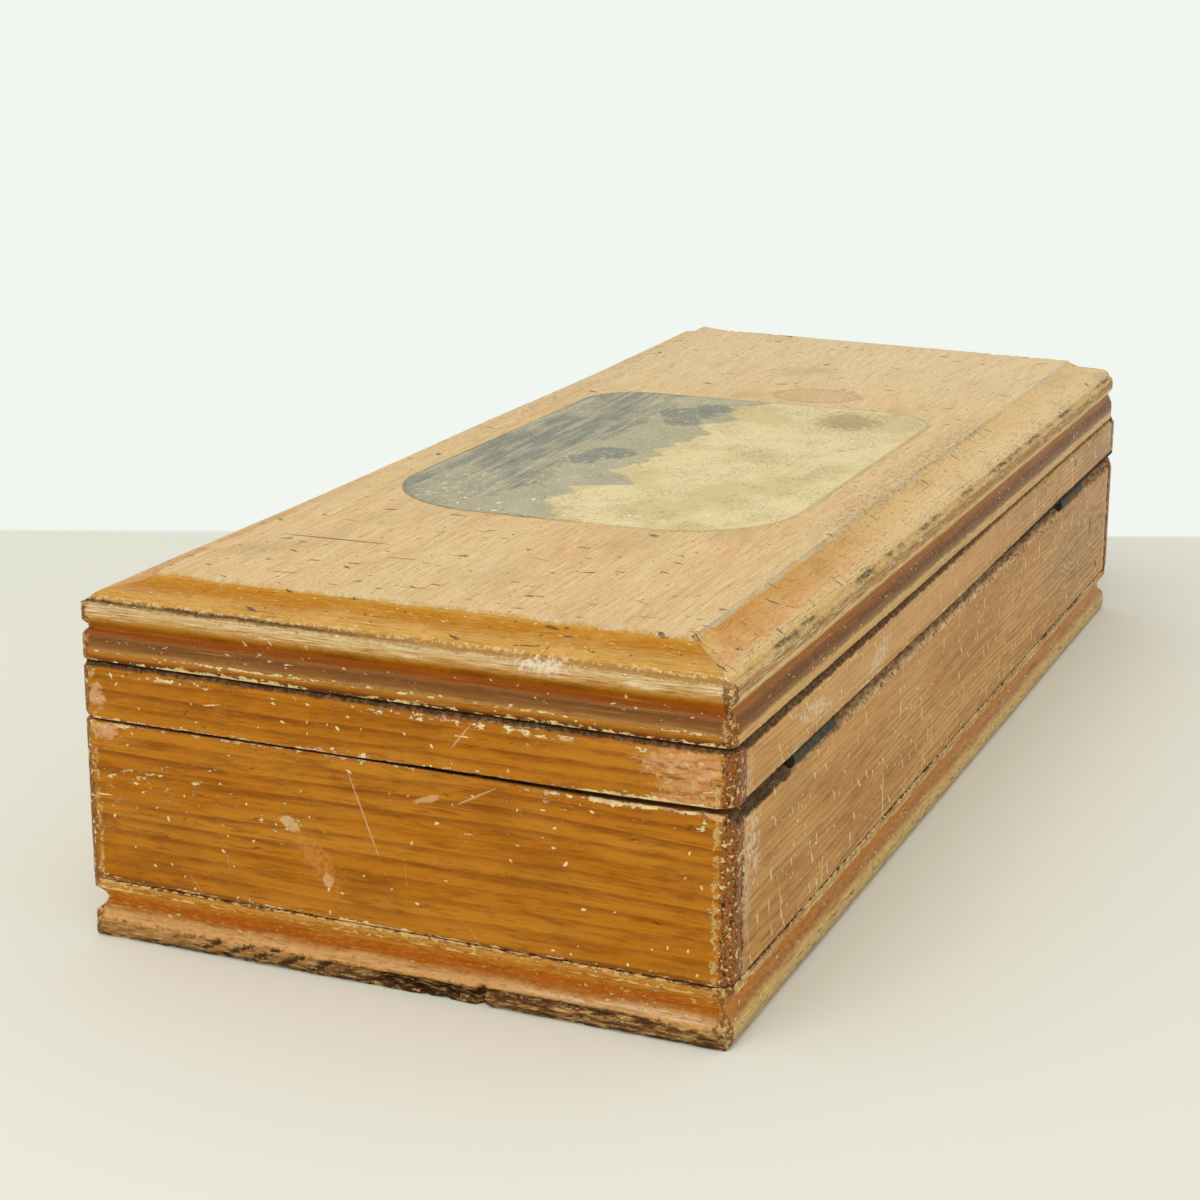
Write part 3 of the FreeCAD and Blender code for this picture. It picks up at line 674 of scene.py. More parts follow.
def board_finish(name, along_y, light, mid, dark, rings, chip_share):
    """Varnished wall or rail wood: amber and glossy on the ends, duller on the long sides, whose paler tan is
    partly painted sheen.
    """
    material, b, shader, place = start_material(name)
    x, y, z = b.split(place)
    along = y if along_y else x
    board = b.join(y, x, z) if along_y else place
    face = b.join(along, z, 0.0)
    seen_side = (x if along_y else y).step(-1.0, 1.0)
    edge = attribute(b, "edge")
    contrast, mottling = (0.72, 0.5) if along_y else (0.7, 0.55)
    colour, grain = grained(b, board, rings, light, mid, dark, contrast, mottling)
    broad = b.noise(place, (0.05, 0.05, 0.08), 3.0, 0.55)
    colour.lay(dark, broad.step(0.56, 0.75) * 0.35)
    fine = b.noise(place, (1.1, 1.1, 1.1), 4.0, 0.68)

    # The joints under the lid board and over the base board, and the rims along the split, whose shade is
    # painted on.
    wobble = b.noise(face, 0.35, 4.0, 0.62).around(0.55)
    height = z + wobble
    near_drop = 0.15 if along_y else x.step(-80.0, 110.0) * 0.6
    joint = (height + near_drop).band(LID_SEAM / MM - 0.85, LID_SEAM / MM + 3.0, 0.2)
    under_joint = height.band(LID_SEAM / MM - 2.3, LID_SEAM / MM - 1.1, 0.3)
    splinters = height.band(BEVEL_FOOT / MM - 0.4, BEVEL_FOOT / MM + 0.6, 0.3) * y.step(53.6, 54.2)
    foot = (z + wobble * 0.3).step(BASE_SEAM / MM + 0.35, BASE_SEAM / MM + 0.1)
    rim_height = RIM_FRONT / MM + (y + SIDE / MM) * ((RIM_BACK - RIM_FRONT) / (2 * SIDE))
    rim_drop = y.step(SIDE / MM, 30.0) * RIM_DROPS[0] + y.step(0.0, -50.0) * RIM_DROPS[1]
    dip = y.step(5.0, 40.0) * x.step(0.0, 1.0) if along_y else 0.0
    rim_drop = rim_drop + dip * RIM_DIP
    over_rim = (z - (rim_height - rim_drop)).step(-0.15, 0.0)
    bevel_rise = (RIM_BACK - BEVEL_FOOT) / BEVEL_WIDTH
    bevel_height = BEVEL_FOOT / MM - 0.35 + (SIDE / MM - y) * bevel_rise + wobble
    bevel = (z - bevel_height).step(-0.25, 0.15) * y.step(53.2, 53.8)
    rail_drop = y.step(SIDE / MM, SIDE / MM - RAIL_SLOPE, "LINEAR") * RAIL_DROP + dip * RAIL_DIP
    # Painted shade: on the back this carries the split's painted dark further up the rail towards the left
    # end.
    shadow = x.step(30.0, -90.0) * y.step(53.0, 54.5) * 0.75
    above = z + rail_drop - shadow
    outer = b.most(abs(x).step(END / MM - 1.8, END / MM - 1.2), abs(y).step(SIDE / MM - 1.8, SIDE / MM - 1.2))
    gap = b.most(over_rim * outer, bevel) * above.step(RAIL_FOOT / MM + 0.1, RAIL_FOOT / MM - 0.1)
    rim_face = over_rim * (z + rail_drop).step(RAIL_FOOT / MM + 0.12, RAIL_FOOT / MM + 0.04)

    # Where the varnish is gone: rubbed arrises, flecks, dashes and scratches.
    rub = b.most(edge, under_joint * 0.6, splinters)
    bare = bare_wood(b, board, rub, chip_share)
    if along_y:
        marks = b.most(
            strokes(b, face, 3.2, broad.step(0.42, 0.66) * 0.6, 0.5, 0.26, 0.5, 3.0),
            strokes(b, face, 9.0, 0.3, 1.7, 0.2, 0.1, 0.3),
            strokes(b, face, 17.0, 0.25, 5.0, 0.09, 1.9, 0.35) * 0.5,
        )
    else:
        marks = b.most(
            strokes(b, face, 4.6, 0.55, 1.6, 0.36, 1.2, 0.4),
            strokes(b, face, 2.4, 0.3, 0.5, 0.30, 0.9, 1.4),
            strokes(b, face, 15.0, 0.6, 7.0, 0.30, 1.42, 0.25),
        )
        marks = marks * b.most(seen_side, broad.step(0.5, 0.6))
    colour.lay(b.layer(PALE, CREAM, fine.step(0.36, 0.5)), marks * 0.92)
    worn = b.layer(CREAM, PINK, b.noise(place, 0.25, 2.0).step(0.42, 0.6))
    colour.lay(worn, bare * 0.9)
    nicks = strokes(b, face, 7.0, 0.35, 0.7, 0.16, 0.1, 0.8)
    colour.lay((92, 56, 26), nicks * 0.6)

    if along_y:
        blotches = b.noise(place, (0.09, 0.09, 0.2), 4.0, 0.7)
        colour.lay((120, 66, 16), blotches.step(0.54, 0.68) * 0.25)
        end_face_marks(b, colour, face, fine, seen_side)
        # The end grain of this board shows on the long sides, dark and full of small chips.
        side = abs(y) + fine.around(1.5) + broad.around(0.8)
        grit = b.noise(place, 1.1, 5.0, 0.82)
        pores = b.noise(place, (1.6, 1.6, 1.0), 4.0, 0.8)
        strip = b.layer((170, 106, 48), (112, 58, 26), grit.step(0.42, 0.56))
        strip.lay((38, 22, 13), pores.step(0.53, 0.6) * 0.9)
        strip.lay((236, 200, 132), fine.step(0.55, 0.61) * 0.9)
        colour.lay(strip, side.step(SIDE / MM - 2.2, SIDE / MM - 1.7))
        border = side.band(SIDE / MM - 2.9, SIDE / MM - 2.1, 0.3)
        colour.lay((206, 178, 112), border * fine.step(0.47, 0.58) * 0.8)
    else:
        colour.lay((232, 178, 102), z.step(26.0, 33.0) * x.step(-60.0, 60.0) * 0.28)
        reach = abs(x) + fine.around(1.4)
        lap_wear = reach.step(LAP_END / MM - 4.0, LAP_END / MM - 0.5) * broad.step(0.36, 0.6)
        colour.lay((226, 196, 160), lap_wear * fine.step(0.4, 0.56) * 0.75)
        colour.lay((70, 38, 22), reach.step(LAP_END / MM - 0.4, LAP_END / MM) * 0.8)
        colour.lay((236, 190, 126), z.step(38.4, 39.6) * x.band(-50.0, 90.0, 30.0) * 0.25)
        back_face_marks(b, colour, face, place, fine, seen_side)

    rubbed_rim = b.layer((172, 130, 82), (132, 95, 58), broad.step(0.4, 0.64))
    rubbed_rim.lay((78, 52, 32), fine.step(0.52, 0.64) * 0.6)
    colour.lay(rubbed_rim, rim_face)
    groove_dirt_and_shade = b.layer((124, 92, 58), (72, 46, 28), fine.step(0.36, 0.6))
    # The darkest line at the top of the joint is painted shade under the lid board's bead; the band under it
    # is dirt.
    groove_dirt_and_shade.lay((44, 25, 12), height.band(LID_SEAM / MM - 0.4, LID_SEAM / MM + 1.0, 0.2))
    clean = 0.0 if along_y else x.step(40.0, -110.0) * 0.4
    colour.lay(groove_dirt_and_shade, joint * outer * (0.96 - clean))
    colour.lay((72, 42, 22), foot * 0.7)
    rough = b.noise(place, (0.35, 1.0, 1.6), 4.0, 0.7).step(0.4, 0.64)
    # The split is painted dark as its shade over real dirt: dirt brown low on the back bevel, near black
    # higher up, towards the right end and along the ends and front.
    gap_dirt_and_shade = b.layer((120, 86, 56), (186, 146, 100), rough)
    gap_shade_depth = b.most(z.step(BEVEL_FOOT / MM + 1.5, BEVEL_FOOT / MM + 2.5), x.step(60.0, 110.0) * 0.7)
    gap_shade_depth = b.most(gap_shade_depth, y.step(53.4, 53.0))
    colour.lay(b.layer(gap_dirt_and_shade, b.layer((30, 20, 13), (64, 44, 30), rough), gap_shade_depth), gap)
    torn_edge = splinters * x.step(100.0, 60.0) * x.step(-118.0, -80.0) * fine.step(0.42, 0.54)
    colour.lay((232, 194, 140), torn_edge * seen_side * 0.8)

    inside = inside_walls(x, y, 0.6)
    plain, _ = grained(b, board, rings, *PLAIN_WOOD, 0.6)
    plain.lay((140, 108, 72), b.noise(place, 0.05, 5.0, 0.7).step(0.5, 0.8))
    colour.lay(plain, inside)

    dull = b.most(bare, marks, inside, joint * outer, gap, rim_face)
    roughness = dull * 0.4 + 0.36 + grain["Fibre"].around(0.14)
    relief = (
        bare * -0.1 + marks * (1.0 - rim_face) * -0.08 + grain["Ring"] * -0.02
        + grain["Fibre"].around(0.03) + nicks * -0.1
    )
    finish_surface(b, shader, colour, roughness, relief)
    return material


def end_face_marks(b, colour, face, fine, seen_side):
    """The right end's own marks: bruises, a worn pink patch near the back and two long scratches."""
    patch = b.marks(
        face, (49.0, 43.4, 8.0, 2.4, 0.0, 1.0, 0.6, 1.0), (48.0, 40.0, 5.0, 2.4, 0.0, 2.0, 0.6, 0.7),
        (-51.5, 41.0, 1.3, 2.2, 0.0, 1.2, 0.4, 1.0), (-50.5, 35.4, 2.6, 1.2, 0.0, 1.2, 0.4, 1.0)
    )
    torn = b.noise(face, (0.35, 0.9, 1.0), 4.0, 0.7).step(0.36, 0.56)
    colour.lay(b.layer(PINK, CREAM, fine.step(0.5, 0.64)), patch * torn * seen_side * 0.72)
    bruise = b.marks(
        face, (-17.4, 24.9, 1.7, 1.0, -0.5, 0.5, 0.3, 1.0), (-10.9, 16.6, 0.9, 1.2, 0.2, 0.5, 0.3, 1.0),
        (6.5, 32.4, 2.2, 0.5, 0.3, 1.2, 0.5, 0.8)
    )
    colour.lay((222, 186, 138), bruise * seen_side * 0.7)
    rubbed = b.marks(face, (-13.0, 20.0, 5.2, 2.0, -0.75, 1.2, 1.0, 0.7))
    colour.lay((204, 138, 60), rubbed * fine.step(0.34, 0.6) * seen_side)
    cuts = b.marks(
        face, (-4.6, 28.5, 7.6, 0.12, -1.2, 1.4, 0.6, 0.75), (14.5, 34.0, 3.4, 0.13, 0.5, 0.9, 0.6, 0.75),
        (12.0, 43.0, 2.6, 0.13, 0.9, 0.9, 0.6, 0.75)
    )
    colour.lay((212, 172, 132), cuts * seen_side)


def back_face_marks(b, colour, face, place, fine, seen_side):
    """The back's own marks: a swirl of grain near the left end, dings, and pale scuffs on the rail."""
    swirl = b.marks(face, (-92.0, 22.0, 26.0, 9.0, 0.0, 0.5, 0.9, 0.6))
    turns = b.math("FRACT", b.noise(place, (0.035, 0.0, 0.1), 1.0) * 22.0)
    lines = turns.step(0.3, 0.9) * turns.step(1.0, 0.93)
    colour.lay((128, 104, 88), swirl * lines * seen_side)
    scuffs = b.marks(
        face, (94.5, 42.0, 7.5, 1.5, 0.15, 1.6, 0.5, 0.8), (60.0, 41.0, 5.0, 1.8, -0.2, 2.0, 0.5, 0.8),
        (121.5, 30.0, 2.2, 5.5, -0.2, 1.4, 0.6, 0.8)
    )
    colour.lay((232, 210, 180), scuffs * fine.step(0.44, 0.56) * seen_side)
    dings = b.marks(
        face, (-107.2, 25.3, 0.8, 1.4, 0.2, 0.5, 0.4, 0.85), (-115.6, 14.1, 1.2, 0.8, 0.2, 0.5, 0.4, 0.85),
        (-88.0, 43.6, 0.9, 0.7, 0.2, 0.5, 0.4, 0.85)
    )
    colour.lay((84, 44, 26), dings * seen_side)


# The colours up the lid board's edge and the base board's, each as (height, red, green, blue). Their
# brightest bands, on the noses and beads and most of all on the long sides, are painted highlight and sheen
# over the worn wood's own colour.
LID_HEIGHTS = (46.5, 60.5)
LID_END_STOPS = (
    (46.8, 84, 44, 10), (47.3, 128, 70, 14), (47.9, 176, 108, 16), (48.4, 188, 126, 46),
    (48.8, 174, 125, 66), (49.3, 145, 96, 46), (50.4, 118, 72, 30), (50.9, 147, 93, 42),
    (51.3, 147, 74, 8), (52.4, 168, 94, 4), (53.0, 182, 114, 20), (54.0, 201, 150, 74),
    (54.6, 210, 168, 104), (55.5, 212, 181, 127), (56.0, 181, 137, 72), (56.4, 187, 134, 62),
    (57.0, 208, 157, 71), (57.6, 209, 158, 76), (58.2, 191, 124, 18), (59.0, 193, 130, 18),
    (59.5, 206, 154, 60),
)
LID_SIDE_STOPS = (
    (46.8, 120, 80, 44), (47.1, 226, 172, 102), (48.3, 226, 180, 108), (48.8, 164, 120, 54),
    (49.3, 138, 90, 24), (50.4, 112, 64, 2), (50.9, 140, 82, 12), (51.4, 170, 108, 36),
    (51.9, 175, 108, 22), (52.4, 255, 214, 142), (53.2, 255, 218, 150), (53.7, 246, 208, 146),
    (54.1, 214, 174, 114), (54.6, 182, 140, 88), (55.0, 190, 146, 88), (55.5, 182, 139, 80),
    (56.0, 220, 182, 112), (56.5, 230, 178, 96), (57.0, 228, 196, 134), (57.6, 238, 198, 134),
    (58.3, 223, 181, 112), (59.0, 226, 181, 102), (59.5, 229, 187, 111),
)
BASE_HEIGHTS = (-1.0, 11.0)
BASE_END_STOPS = (
    (-0.5, 72, 44, 26), (0.5, 104, 68, 40), (1.0, 196, 138, 72), (1.6, 214, 154, 86), (3.0, 214, 154, 84),
    (3.5, 215, 160, 94), (4.4, 198, 152, 96), (4.9, 184, 120, 48), (5.3, 172, 98, 14), (6.0, 186, 97, 4),
    (6.8, 198, 114, 8), (7.6, 220, 150, 52), (8.2, 198, 128, 32), (9.0, 194, 124, 32),
    (9.5, 206, 146, 64), (9.8, 160, 108, 49), (10.0, 84, 48, 24),
)
BASE_SIDE_STOPS = (
    (-0.5, 150, 108, 64), (0.6, 226, 182, 128), (1.4, 255, 218, 152), (2.9, 255, 222, 144),
    (3.6, 214, 166, 95), (4.4, 178, 124, 57), (5.2, 208, 134, 34), (6.2, 200, 131, 44),
    (6.8, 185, 136, 75), (7.6, 162, 116, 60), (8.4, 194, 143, 75), (9.0, 211, 156, 86),
    (9.4, 208, 152, 80), (9.8, 150, 96, 42), (10.1, 72, 42, 22),
)


def edge_places(b, x, y):
    """How far in from ends, sides and the nearer of them, whether that is an end, and the way along it."""
    end_gap = END / MM - abs(x)
    side_gap = SIDE / MM - abs(y)
    on_end = b.math("LESS_THAN", end_gap, side_gap)
    gap = b.math("MINIMUM", end_gap, side_gap)
    along = x * (1.0 - on_end) + y * on_end
    return end_gap, side_gap, gap, on_end, along


def lid_finish():
    """The lid board: a rubbed pale field, and mouldings whose runs have worn and darkened apart, with painted
    highlight and sheen on their brightest bands.
    """
    material, b, shader, place = start_material("lid wood")
    x, y, z = b.split(place)
    edge = attribute(b, "edge")
    end_gap, side_gap, gap, on_end, along = edge_places(b, x, y)
    face = b.join(along, z + gap, on_end * 40.0)
    fine = b.noise(place, 1.2, 4.0, 0.68)
    patches = b.noise(place, (0.07, 0.07, 0.25), 4.0, 0.62)
    streaks = b.noise(face, (0.06, 2.0, 1.0), 4.0, 0.65)

    height = z + b.noise(place, (0.12, 0.12, 0.3), 4.0, 0.62).around(0.4)
    side_colour = b.ramp(height, *LID_HEIGHTS, LID_SIDE_STOPS)
    colour = b.layer(side_colour, b.ramp(height, *LID_HEIGHTS, LID_END_STOPS), on_end)
    nose = z.band(53.8, 56.0, 0.25)
    fibres = b.noise(face, (0.16, 3.2, 1.0), 4.0, 0.7)
    colour.lay((140, 90, 44), fibres.step(0.52, 0.66) * nose * 0.75)
    bared = fibres.step(0.5, 0.38) * patches.step(0.38, 0.56) * nose
    colour.lay((242, 220, 182), bared * 0.8)
    colour.lay((96, 52, 18), streaks.step(0.53, 0.68) * (1.0 - nose) * 0.45)
    colour.lay((222, 166, 92), streaks.step(0.44, 0.3) * (1.0 - nose) * 0.3)
    low_grit = b.noise(face, (0.5, 2.2, 1.0), 5.0, 0.78)
    colour.lay((84, 46, 18), low_grit.step(0.52, 0.66) * z.step(57.0, 56.4) * 0.4)
    ogee = z.band(56.6, 59.9, 0.2)
    near_side = x.step(20.0, 112.0) * (1.0 - on_end) * z.band(57.6, 59.8, 0.6)
    colour.lay((202, 130, 24), near_side * patches.step(0.3, 0.55) * 0.7)
    # Painted sheen: the long sides' ogee paler towards the left end.
    far_side_sheen = x.step(90.0, -40.0) * (1.0 - on_end) * ogee
    colour.lay((242, 216, 160), far_side_sheen * 0.42)
    colour.lay((166, 98, 22), low_grit.step(0.51, 0.64) * ogee * 0.55)
    colour.lay((244, 206, 136), low_grit.step(0.46, 0.34) * ogee * 0.45)
    colour.lay((172, 100, 18), patches.step(0.52, 0.72) * ogee * 0.4)
    colour.lay((230, 180, 100), patches.step(0.44, 0.3) * ogee * 0.35)

    # Dirt lies in the quirk: brown and thinning out along the ends, olive and broken along the sides.
    quirk_noise = b.noise(face, (0.2, 1.1, 1.0), 4.0, 0.68)
    quirk_height = z + quirk_noise.around(0.5)
    clumps = b.noise(face, (0.11, 0.11, 1.0), 3.0, 0.6)
    on_side = 1.0 - on_end
    thinning = on_end * y.step(8.0, -22.0) + on_side * clumps.step(0.46, 0.62)
    quirk = quirk_height.band(56.05, 56.45, 0.22) * (thinning * 0.8 + 0.12)
    colour.lay(b.layer((48, 38, 22), (66, 38, 18), on_end), quirk)
    by_quirk = b.most(quirk_height.band(56.4, 56.9, 0.3), quirk_height.band(55.6, 56.0, 0.3) * 0.6)
    colour.lay((232, 204, 146), by_quirk * fine.step(0.48, 0.58) * 0.8)
    soil = z.band(54.4, 57.6, 0.6) * low_grit.step(0.5, 0.6) * clumps.step(0.42, 0.6) * on_side
    colour.lay((82, 68, 42), soil * 0.55)

    # The field, worn past its varnish and pale at its border.
    border = b.math("MINIMUM", end_gap - FIELD_INSET_ENDS, side_gap - FIELD_INSET_SIDES)
    on_field = (border + fine.around(0.45) + patches.around(0.9)).step(-0.7, 0.0)
    rings = {"Spacing": 4.6, "Pith Across": 6.0, "Pith Height": 16.0, "Lean": 0.035, "Wander": 9.0}
    field, _ = grained(b, place, rings, (230, 198, 142), (228, 190, 134), (204, 154, 98), 0.3)
    weathered = b.noise(place, (0.012, 0.05, 1.0), 4.0, 0.6)
    field.lay((218, 194, 138), weathered.step(0.5, 0.7) * 0.45)
    field.lay((232, 186, 120), weathered.step(0.48, 0.3) * 0.4)
    # Painted sheen: the field paler towards the left end.
    field.lay((236, 214, 168), x.step(0.0, -100.0) * 0.55)
    pale_border = (border + patches.around(2.4)).step(1.3, 0.2) * patches.step(0.42, 0.56)
    field.lay((214, 202, 168), pale_border * 0.6)
    hairs = b.noise(place, (0.1, 1.9, 1.0), 5.0, 0.72)
    field.lay((184, 140, 84), hairs.step(0.53, 0.66) * 0.5)
    field.lay((246, 222, 172), hairs.step(0.47, 0.35) * 0.55)
    pores = b.noise(place, (0.9, 4.0, 1.0), 4.0, 0.75)
    field.lay((158, 120, 76), pores.step(0.55, 0.68) * 0.5)
    field.lay((248, 228, 182), pores.step(0.45, 0.34) * 0.45)
    shaded = b.noise(place, (0.035, 0.05, 1.0), 4.0, 0.62)
    field.lay((190, 160, 112), shaded.step(0.54, 0.74) * 0.5)
    colour.lay(field, on_field)
    stain = b.mark(place, (-57.0, 5.0, 60.1), (7.5, 9.5, 9.0), 0.1, 0.2, 0.10)
    core = b.mark(place, (-57.0, 5.0, 60.1), (6.6, 8.6, 9.0), 0.1, 0.2, 0.16)
    colour.lay((186, 146, 100), (stain - core * 0.6) * 0.6)

    # Smudges along the back and front borders, specks, dings across the grain and one long cut.
    smudge_noise = b.noise(place, (0.6, 1.4, 0.6), 5.0, 0.76)
    back_smudge = y.band(41.0, 46.0, 2.0) * x.step(68.0, 44.0) * x.step(-60.0, -30.0)
    front_smudge = y.step(-38.0, -47.0) * x.step(30.0, -30.0) * 0.7
    smudge = b.most(back_smudge, front_smudge) * smudge_noise.step(0.46, 0.64)
    colour.lay((118, 104, 80), smudge * 0.6)
    flat = b.join(x, y, 0.0)
    near_end = x.step(50.0, 100.0)
    specks = strokes(b, flat, 3.2, 0.42, 0.36, 0.22, 0.3, 3.0)
    dings = strokes(b, flat, 6.0, near_end * 0.22 + 0.22, 1.3, 0.3, 1.5, 0.5)
    cracks = strokes(b, flat, 13.0, near_end * 0.25 + 0.06, 3.0, 0.16, 1.56, 0.2)
    blots = strokes(b, flat, 19.0, 0.5, 1.1, 0.7, 0.5, 1.5)
    long_cut = b.mark(place, (93.0, -29.0, 60.1), (0.28, 9.5, 9.0), 0.04, 0.4, 0.5)
    dark_marks = b.most(specks * 0.8, dings, cracks, blots * 0.8, long_cut)
    dark_marks = dark_marks * z.step(56.5, 57.2)
    colour.lay(b.layer((66, 50, 38), (128, 104, 78), fine), dark_marks * 0.9)

    bead_top = z.band(48.2, 48.8, 0.2) * 0.75
    bare = bare_wood(b, b.join(along, gap, z), b.most(edge, bead_top), 0.8)
    dots = strokes(b, face, 2.6, 0.34, 0.42, 0.22, 0.0, 0.7)
    chips = b.most(bare, dots) * (1.0 - on_field)
    colour.lay(b.layer(PALE, CREAM, fine.step(0.4, 0.55)), chips * 0.85)
    bruise = b.mark(place, (130.2, 24.5, 55.5), (6, 3.4, 0.9), 0.0, 1.8, 0.8)
    colour.lay((238, 220, 190), bruise * fine.step(0.36, 0.54) * 0.8)
    corner_wear(b, colour, b.most(end_gap, side_gap), z, fine, patches)
    under = z.step(LID_SEAM / MM + 0.12, LID_SEAM / MM + 0.04)
    plain, _ = grained(b, place, rings, *PLAIN_WOOD, 0.6)
    colour.lay(plain, under)

    dull = b.most(on_field, chips, under, nose)
    roughness = dull * 0.25 + 0.38 + streaks.around(0.14)
    relief = (
        dark_marks * -0.14 + chips * (1.0 - under) * -0.1 + streaks.around(0.1) + quirk * -0.1
        + fine.around(0.05)
    )
    finish_surface(b, shader, colour, roughness, relief)
    return material


def corner_wear(b, colour, reach, z, fine, broad):
    """Dark, chipped wood at the upright corners, where the mouldings have been knocked."""
    near = (reach + fine.around(2.2) + broad.around(1.4)).step(2.7, 1.7) * z.step(56.4, 55.6)
    worn = b.layer((146, 84, 34), (70, 38, 18), broad.step(0.46, 0.64))
    worn.lay((232, 196, 128), fine.step(0.49, 0.58) * 0.9)
    colour.lay(worn, near * 0.8)


def base_finish():
    """The base board: a worn fillet, an amber cove and a bruised nose over a rough lower edge, with a painted
    highlight along the nose.
    """
    material, b, shader, place = start_material("base wood")
    x, y, z = b.split(place)
    edge = attribute(b, "edge")
    end_gap, side_gap, gap, on_end, along = edge_places(b, x, y)
    face = b.join(along, z, 0.0)
    fine = b.noise(place, 1.2, 4.0, 0.68)
    streaks = b.noise(face, (0.07, 1.8, 1.0), 4.0, 0.65)
    height = z + b.noise(place, (0.15, 0.15, 0.3), 4.0, 0.62).around(0.6)
    side_colour = b.ramp(height, *BASE_HEIGHTS, BASE_SIDE_STOPS)
    colour = b.layer(side_colour, b.ramp(height, *BASE_HEIGHTS, BASE_END_STOPS), on_end)
    colour.lay((116, 58, 14), streaks.step(0.53, 0.7) * 0.5)
    colour.lay((232, 180, 104), streaks.step(0.46, 0.3) * 0.4)
    grit = b.noise(face, (0.6, 2.0, 1.0), 5.0, 0.78)
    colour.lay((108, 62, 22), grit.step(0.51, 0.66) * 0.5)
    colour.lay((234, 190, 120), grit.step(0.47, 0.33) * 0.4)
    # Painted highlight along the right end's nose.
    nose_highlight = height.band(3.8, 4.4, 0.25) * y.step(15.0, 40.0) * on_end * streaks.step(0.6, 0.45)
    colour.lay((238, 206, 176), nose_highlight * 0.7)

    # Under the nose the wood is torn: end grain slants through it, with splinters and dirt.
    rough_foot = (height + fine.around(1.2)).step(3.5, 2.9)
    slant = b.math("FRACT", along * 0.2 + z * -0.36 + fine.around(0.5))
    slant_lines = slant.step(0.35, 0.7) * slant.step(1.0, 0.85) * on_end * y.band(-36.0, -7.0, 3.0)
    colour.lay((62, 33, 16), slant_lines * rough_foot * 0.9)
    torn = b.noise(face, (0.3, 1.6, 1.0), 5.0, 0.74)
    colour.lay((236, 196, 128), torn.step(0.52, 0.6) * rough_foot * 0.85)
    colour.lay((84, 48, 24), torn.step(0.47, 0.36) * rough_foot * 0.85)
    grubby = y.step(-24.0, -6.0) * height.step(3.3, 2.7) * torn.step(0.62, 0.44) * on_end
    colour.lay((84, 52, 30), grubby * 0.75)

    # The hollow that is broken out under the right end's nose, painted dark as its shade, and the dark shelf
    # beside it.
    at_end = x.step(120.0, 122.0)
    hollow = b.mark(place, (130, 5.0, 1.7), (9, 10.5, 1.3), 0.0, 0.5, 0.4) * at_end
    # Painted shade in the hollow.
    colour.lay((44, 24, 15), hollow * torn.step(0.6, 0.42) * 0.85)
    shelf = (z + fine.around(0.8)).band(2.3, 3.3, 0.25) * y.band(15.4, 44.0, 1.5) * at_end
    colour.lay((66, 46, 34), shelf * torn.step(0.64, 0.46) * 0.7)

    bare = bare_wood(b, b.join(along, gap, z), edge, 0.9)
    dots = strokes(b, face, 2.6, 0.4, 0.6, 0.20, 0.0, 0.5)
    chips = b.most(bare, dots)
    cream = b.layer(PALE, CREAM, fine.step(0.4, 0.55))
    colour.lay(b.layer(cream, (226, 172, 88), on_end * 0.7), chips * 0.85)
    corner_wear(b, colour, b.most(end_gap, side_gap), z, fine, streaks)
    floor_inside = inside_walls(x, y, 0.8) * z.step(9.8, 10.0)
    rings = {"Spacing": 1.9, "Pith Across": -70.0, "Pith Height": 80.0, "Wander": 3.0}
    plain, _ = grained(b, place, rings, (198, 158, 106), (186, 142, 90), (150, 106, 62), 0.6)
    plain.lay((134, 102, 68), b.noise(place, 0.05, 5.0, 0.72).step(0.5, 0.7) * 0.6)
    underside = z.step(0.4, 0.2) * gap.step(1.5, 3.0)
    dirt = b.noise(place, 0.04, 5.0, 0.7).step(0.35, 0.7)
    colour.lay(b.layer(plain, (110, 78, 48), dirt), underside)
    colour.lay(plain, floor_inside)

    dull = b.most(chips, rough_foot * 0.9, floor_inside, underside)
    roughness = dull * 0.4 + 0.34 + streaks.around(0.14)
    relief = (
        chips * -0.1 + torn.around(0.6) * rough_foot * (1.0 - underside) + streaks.around(0.08)
        + slant_lines * rough_foot * -0.15
    )
    finish_surface(b, shader, colour, roughness, relief)
    return material


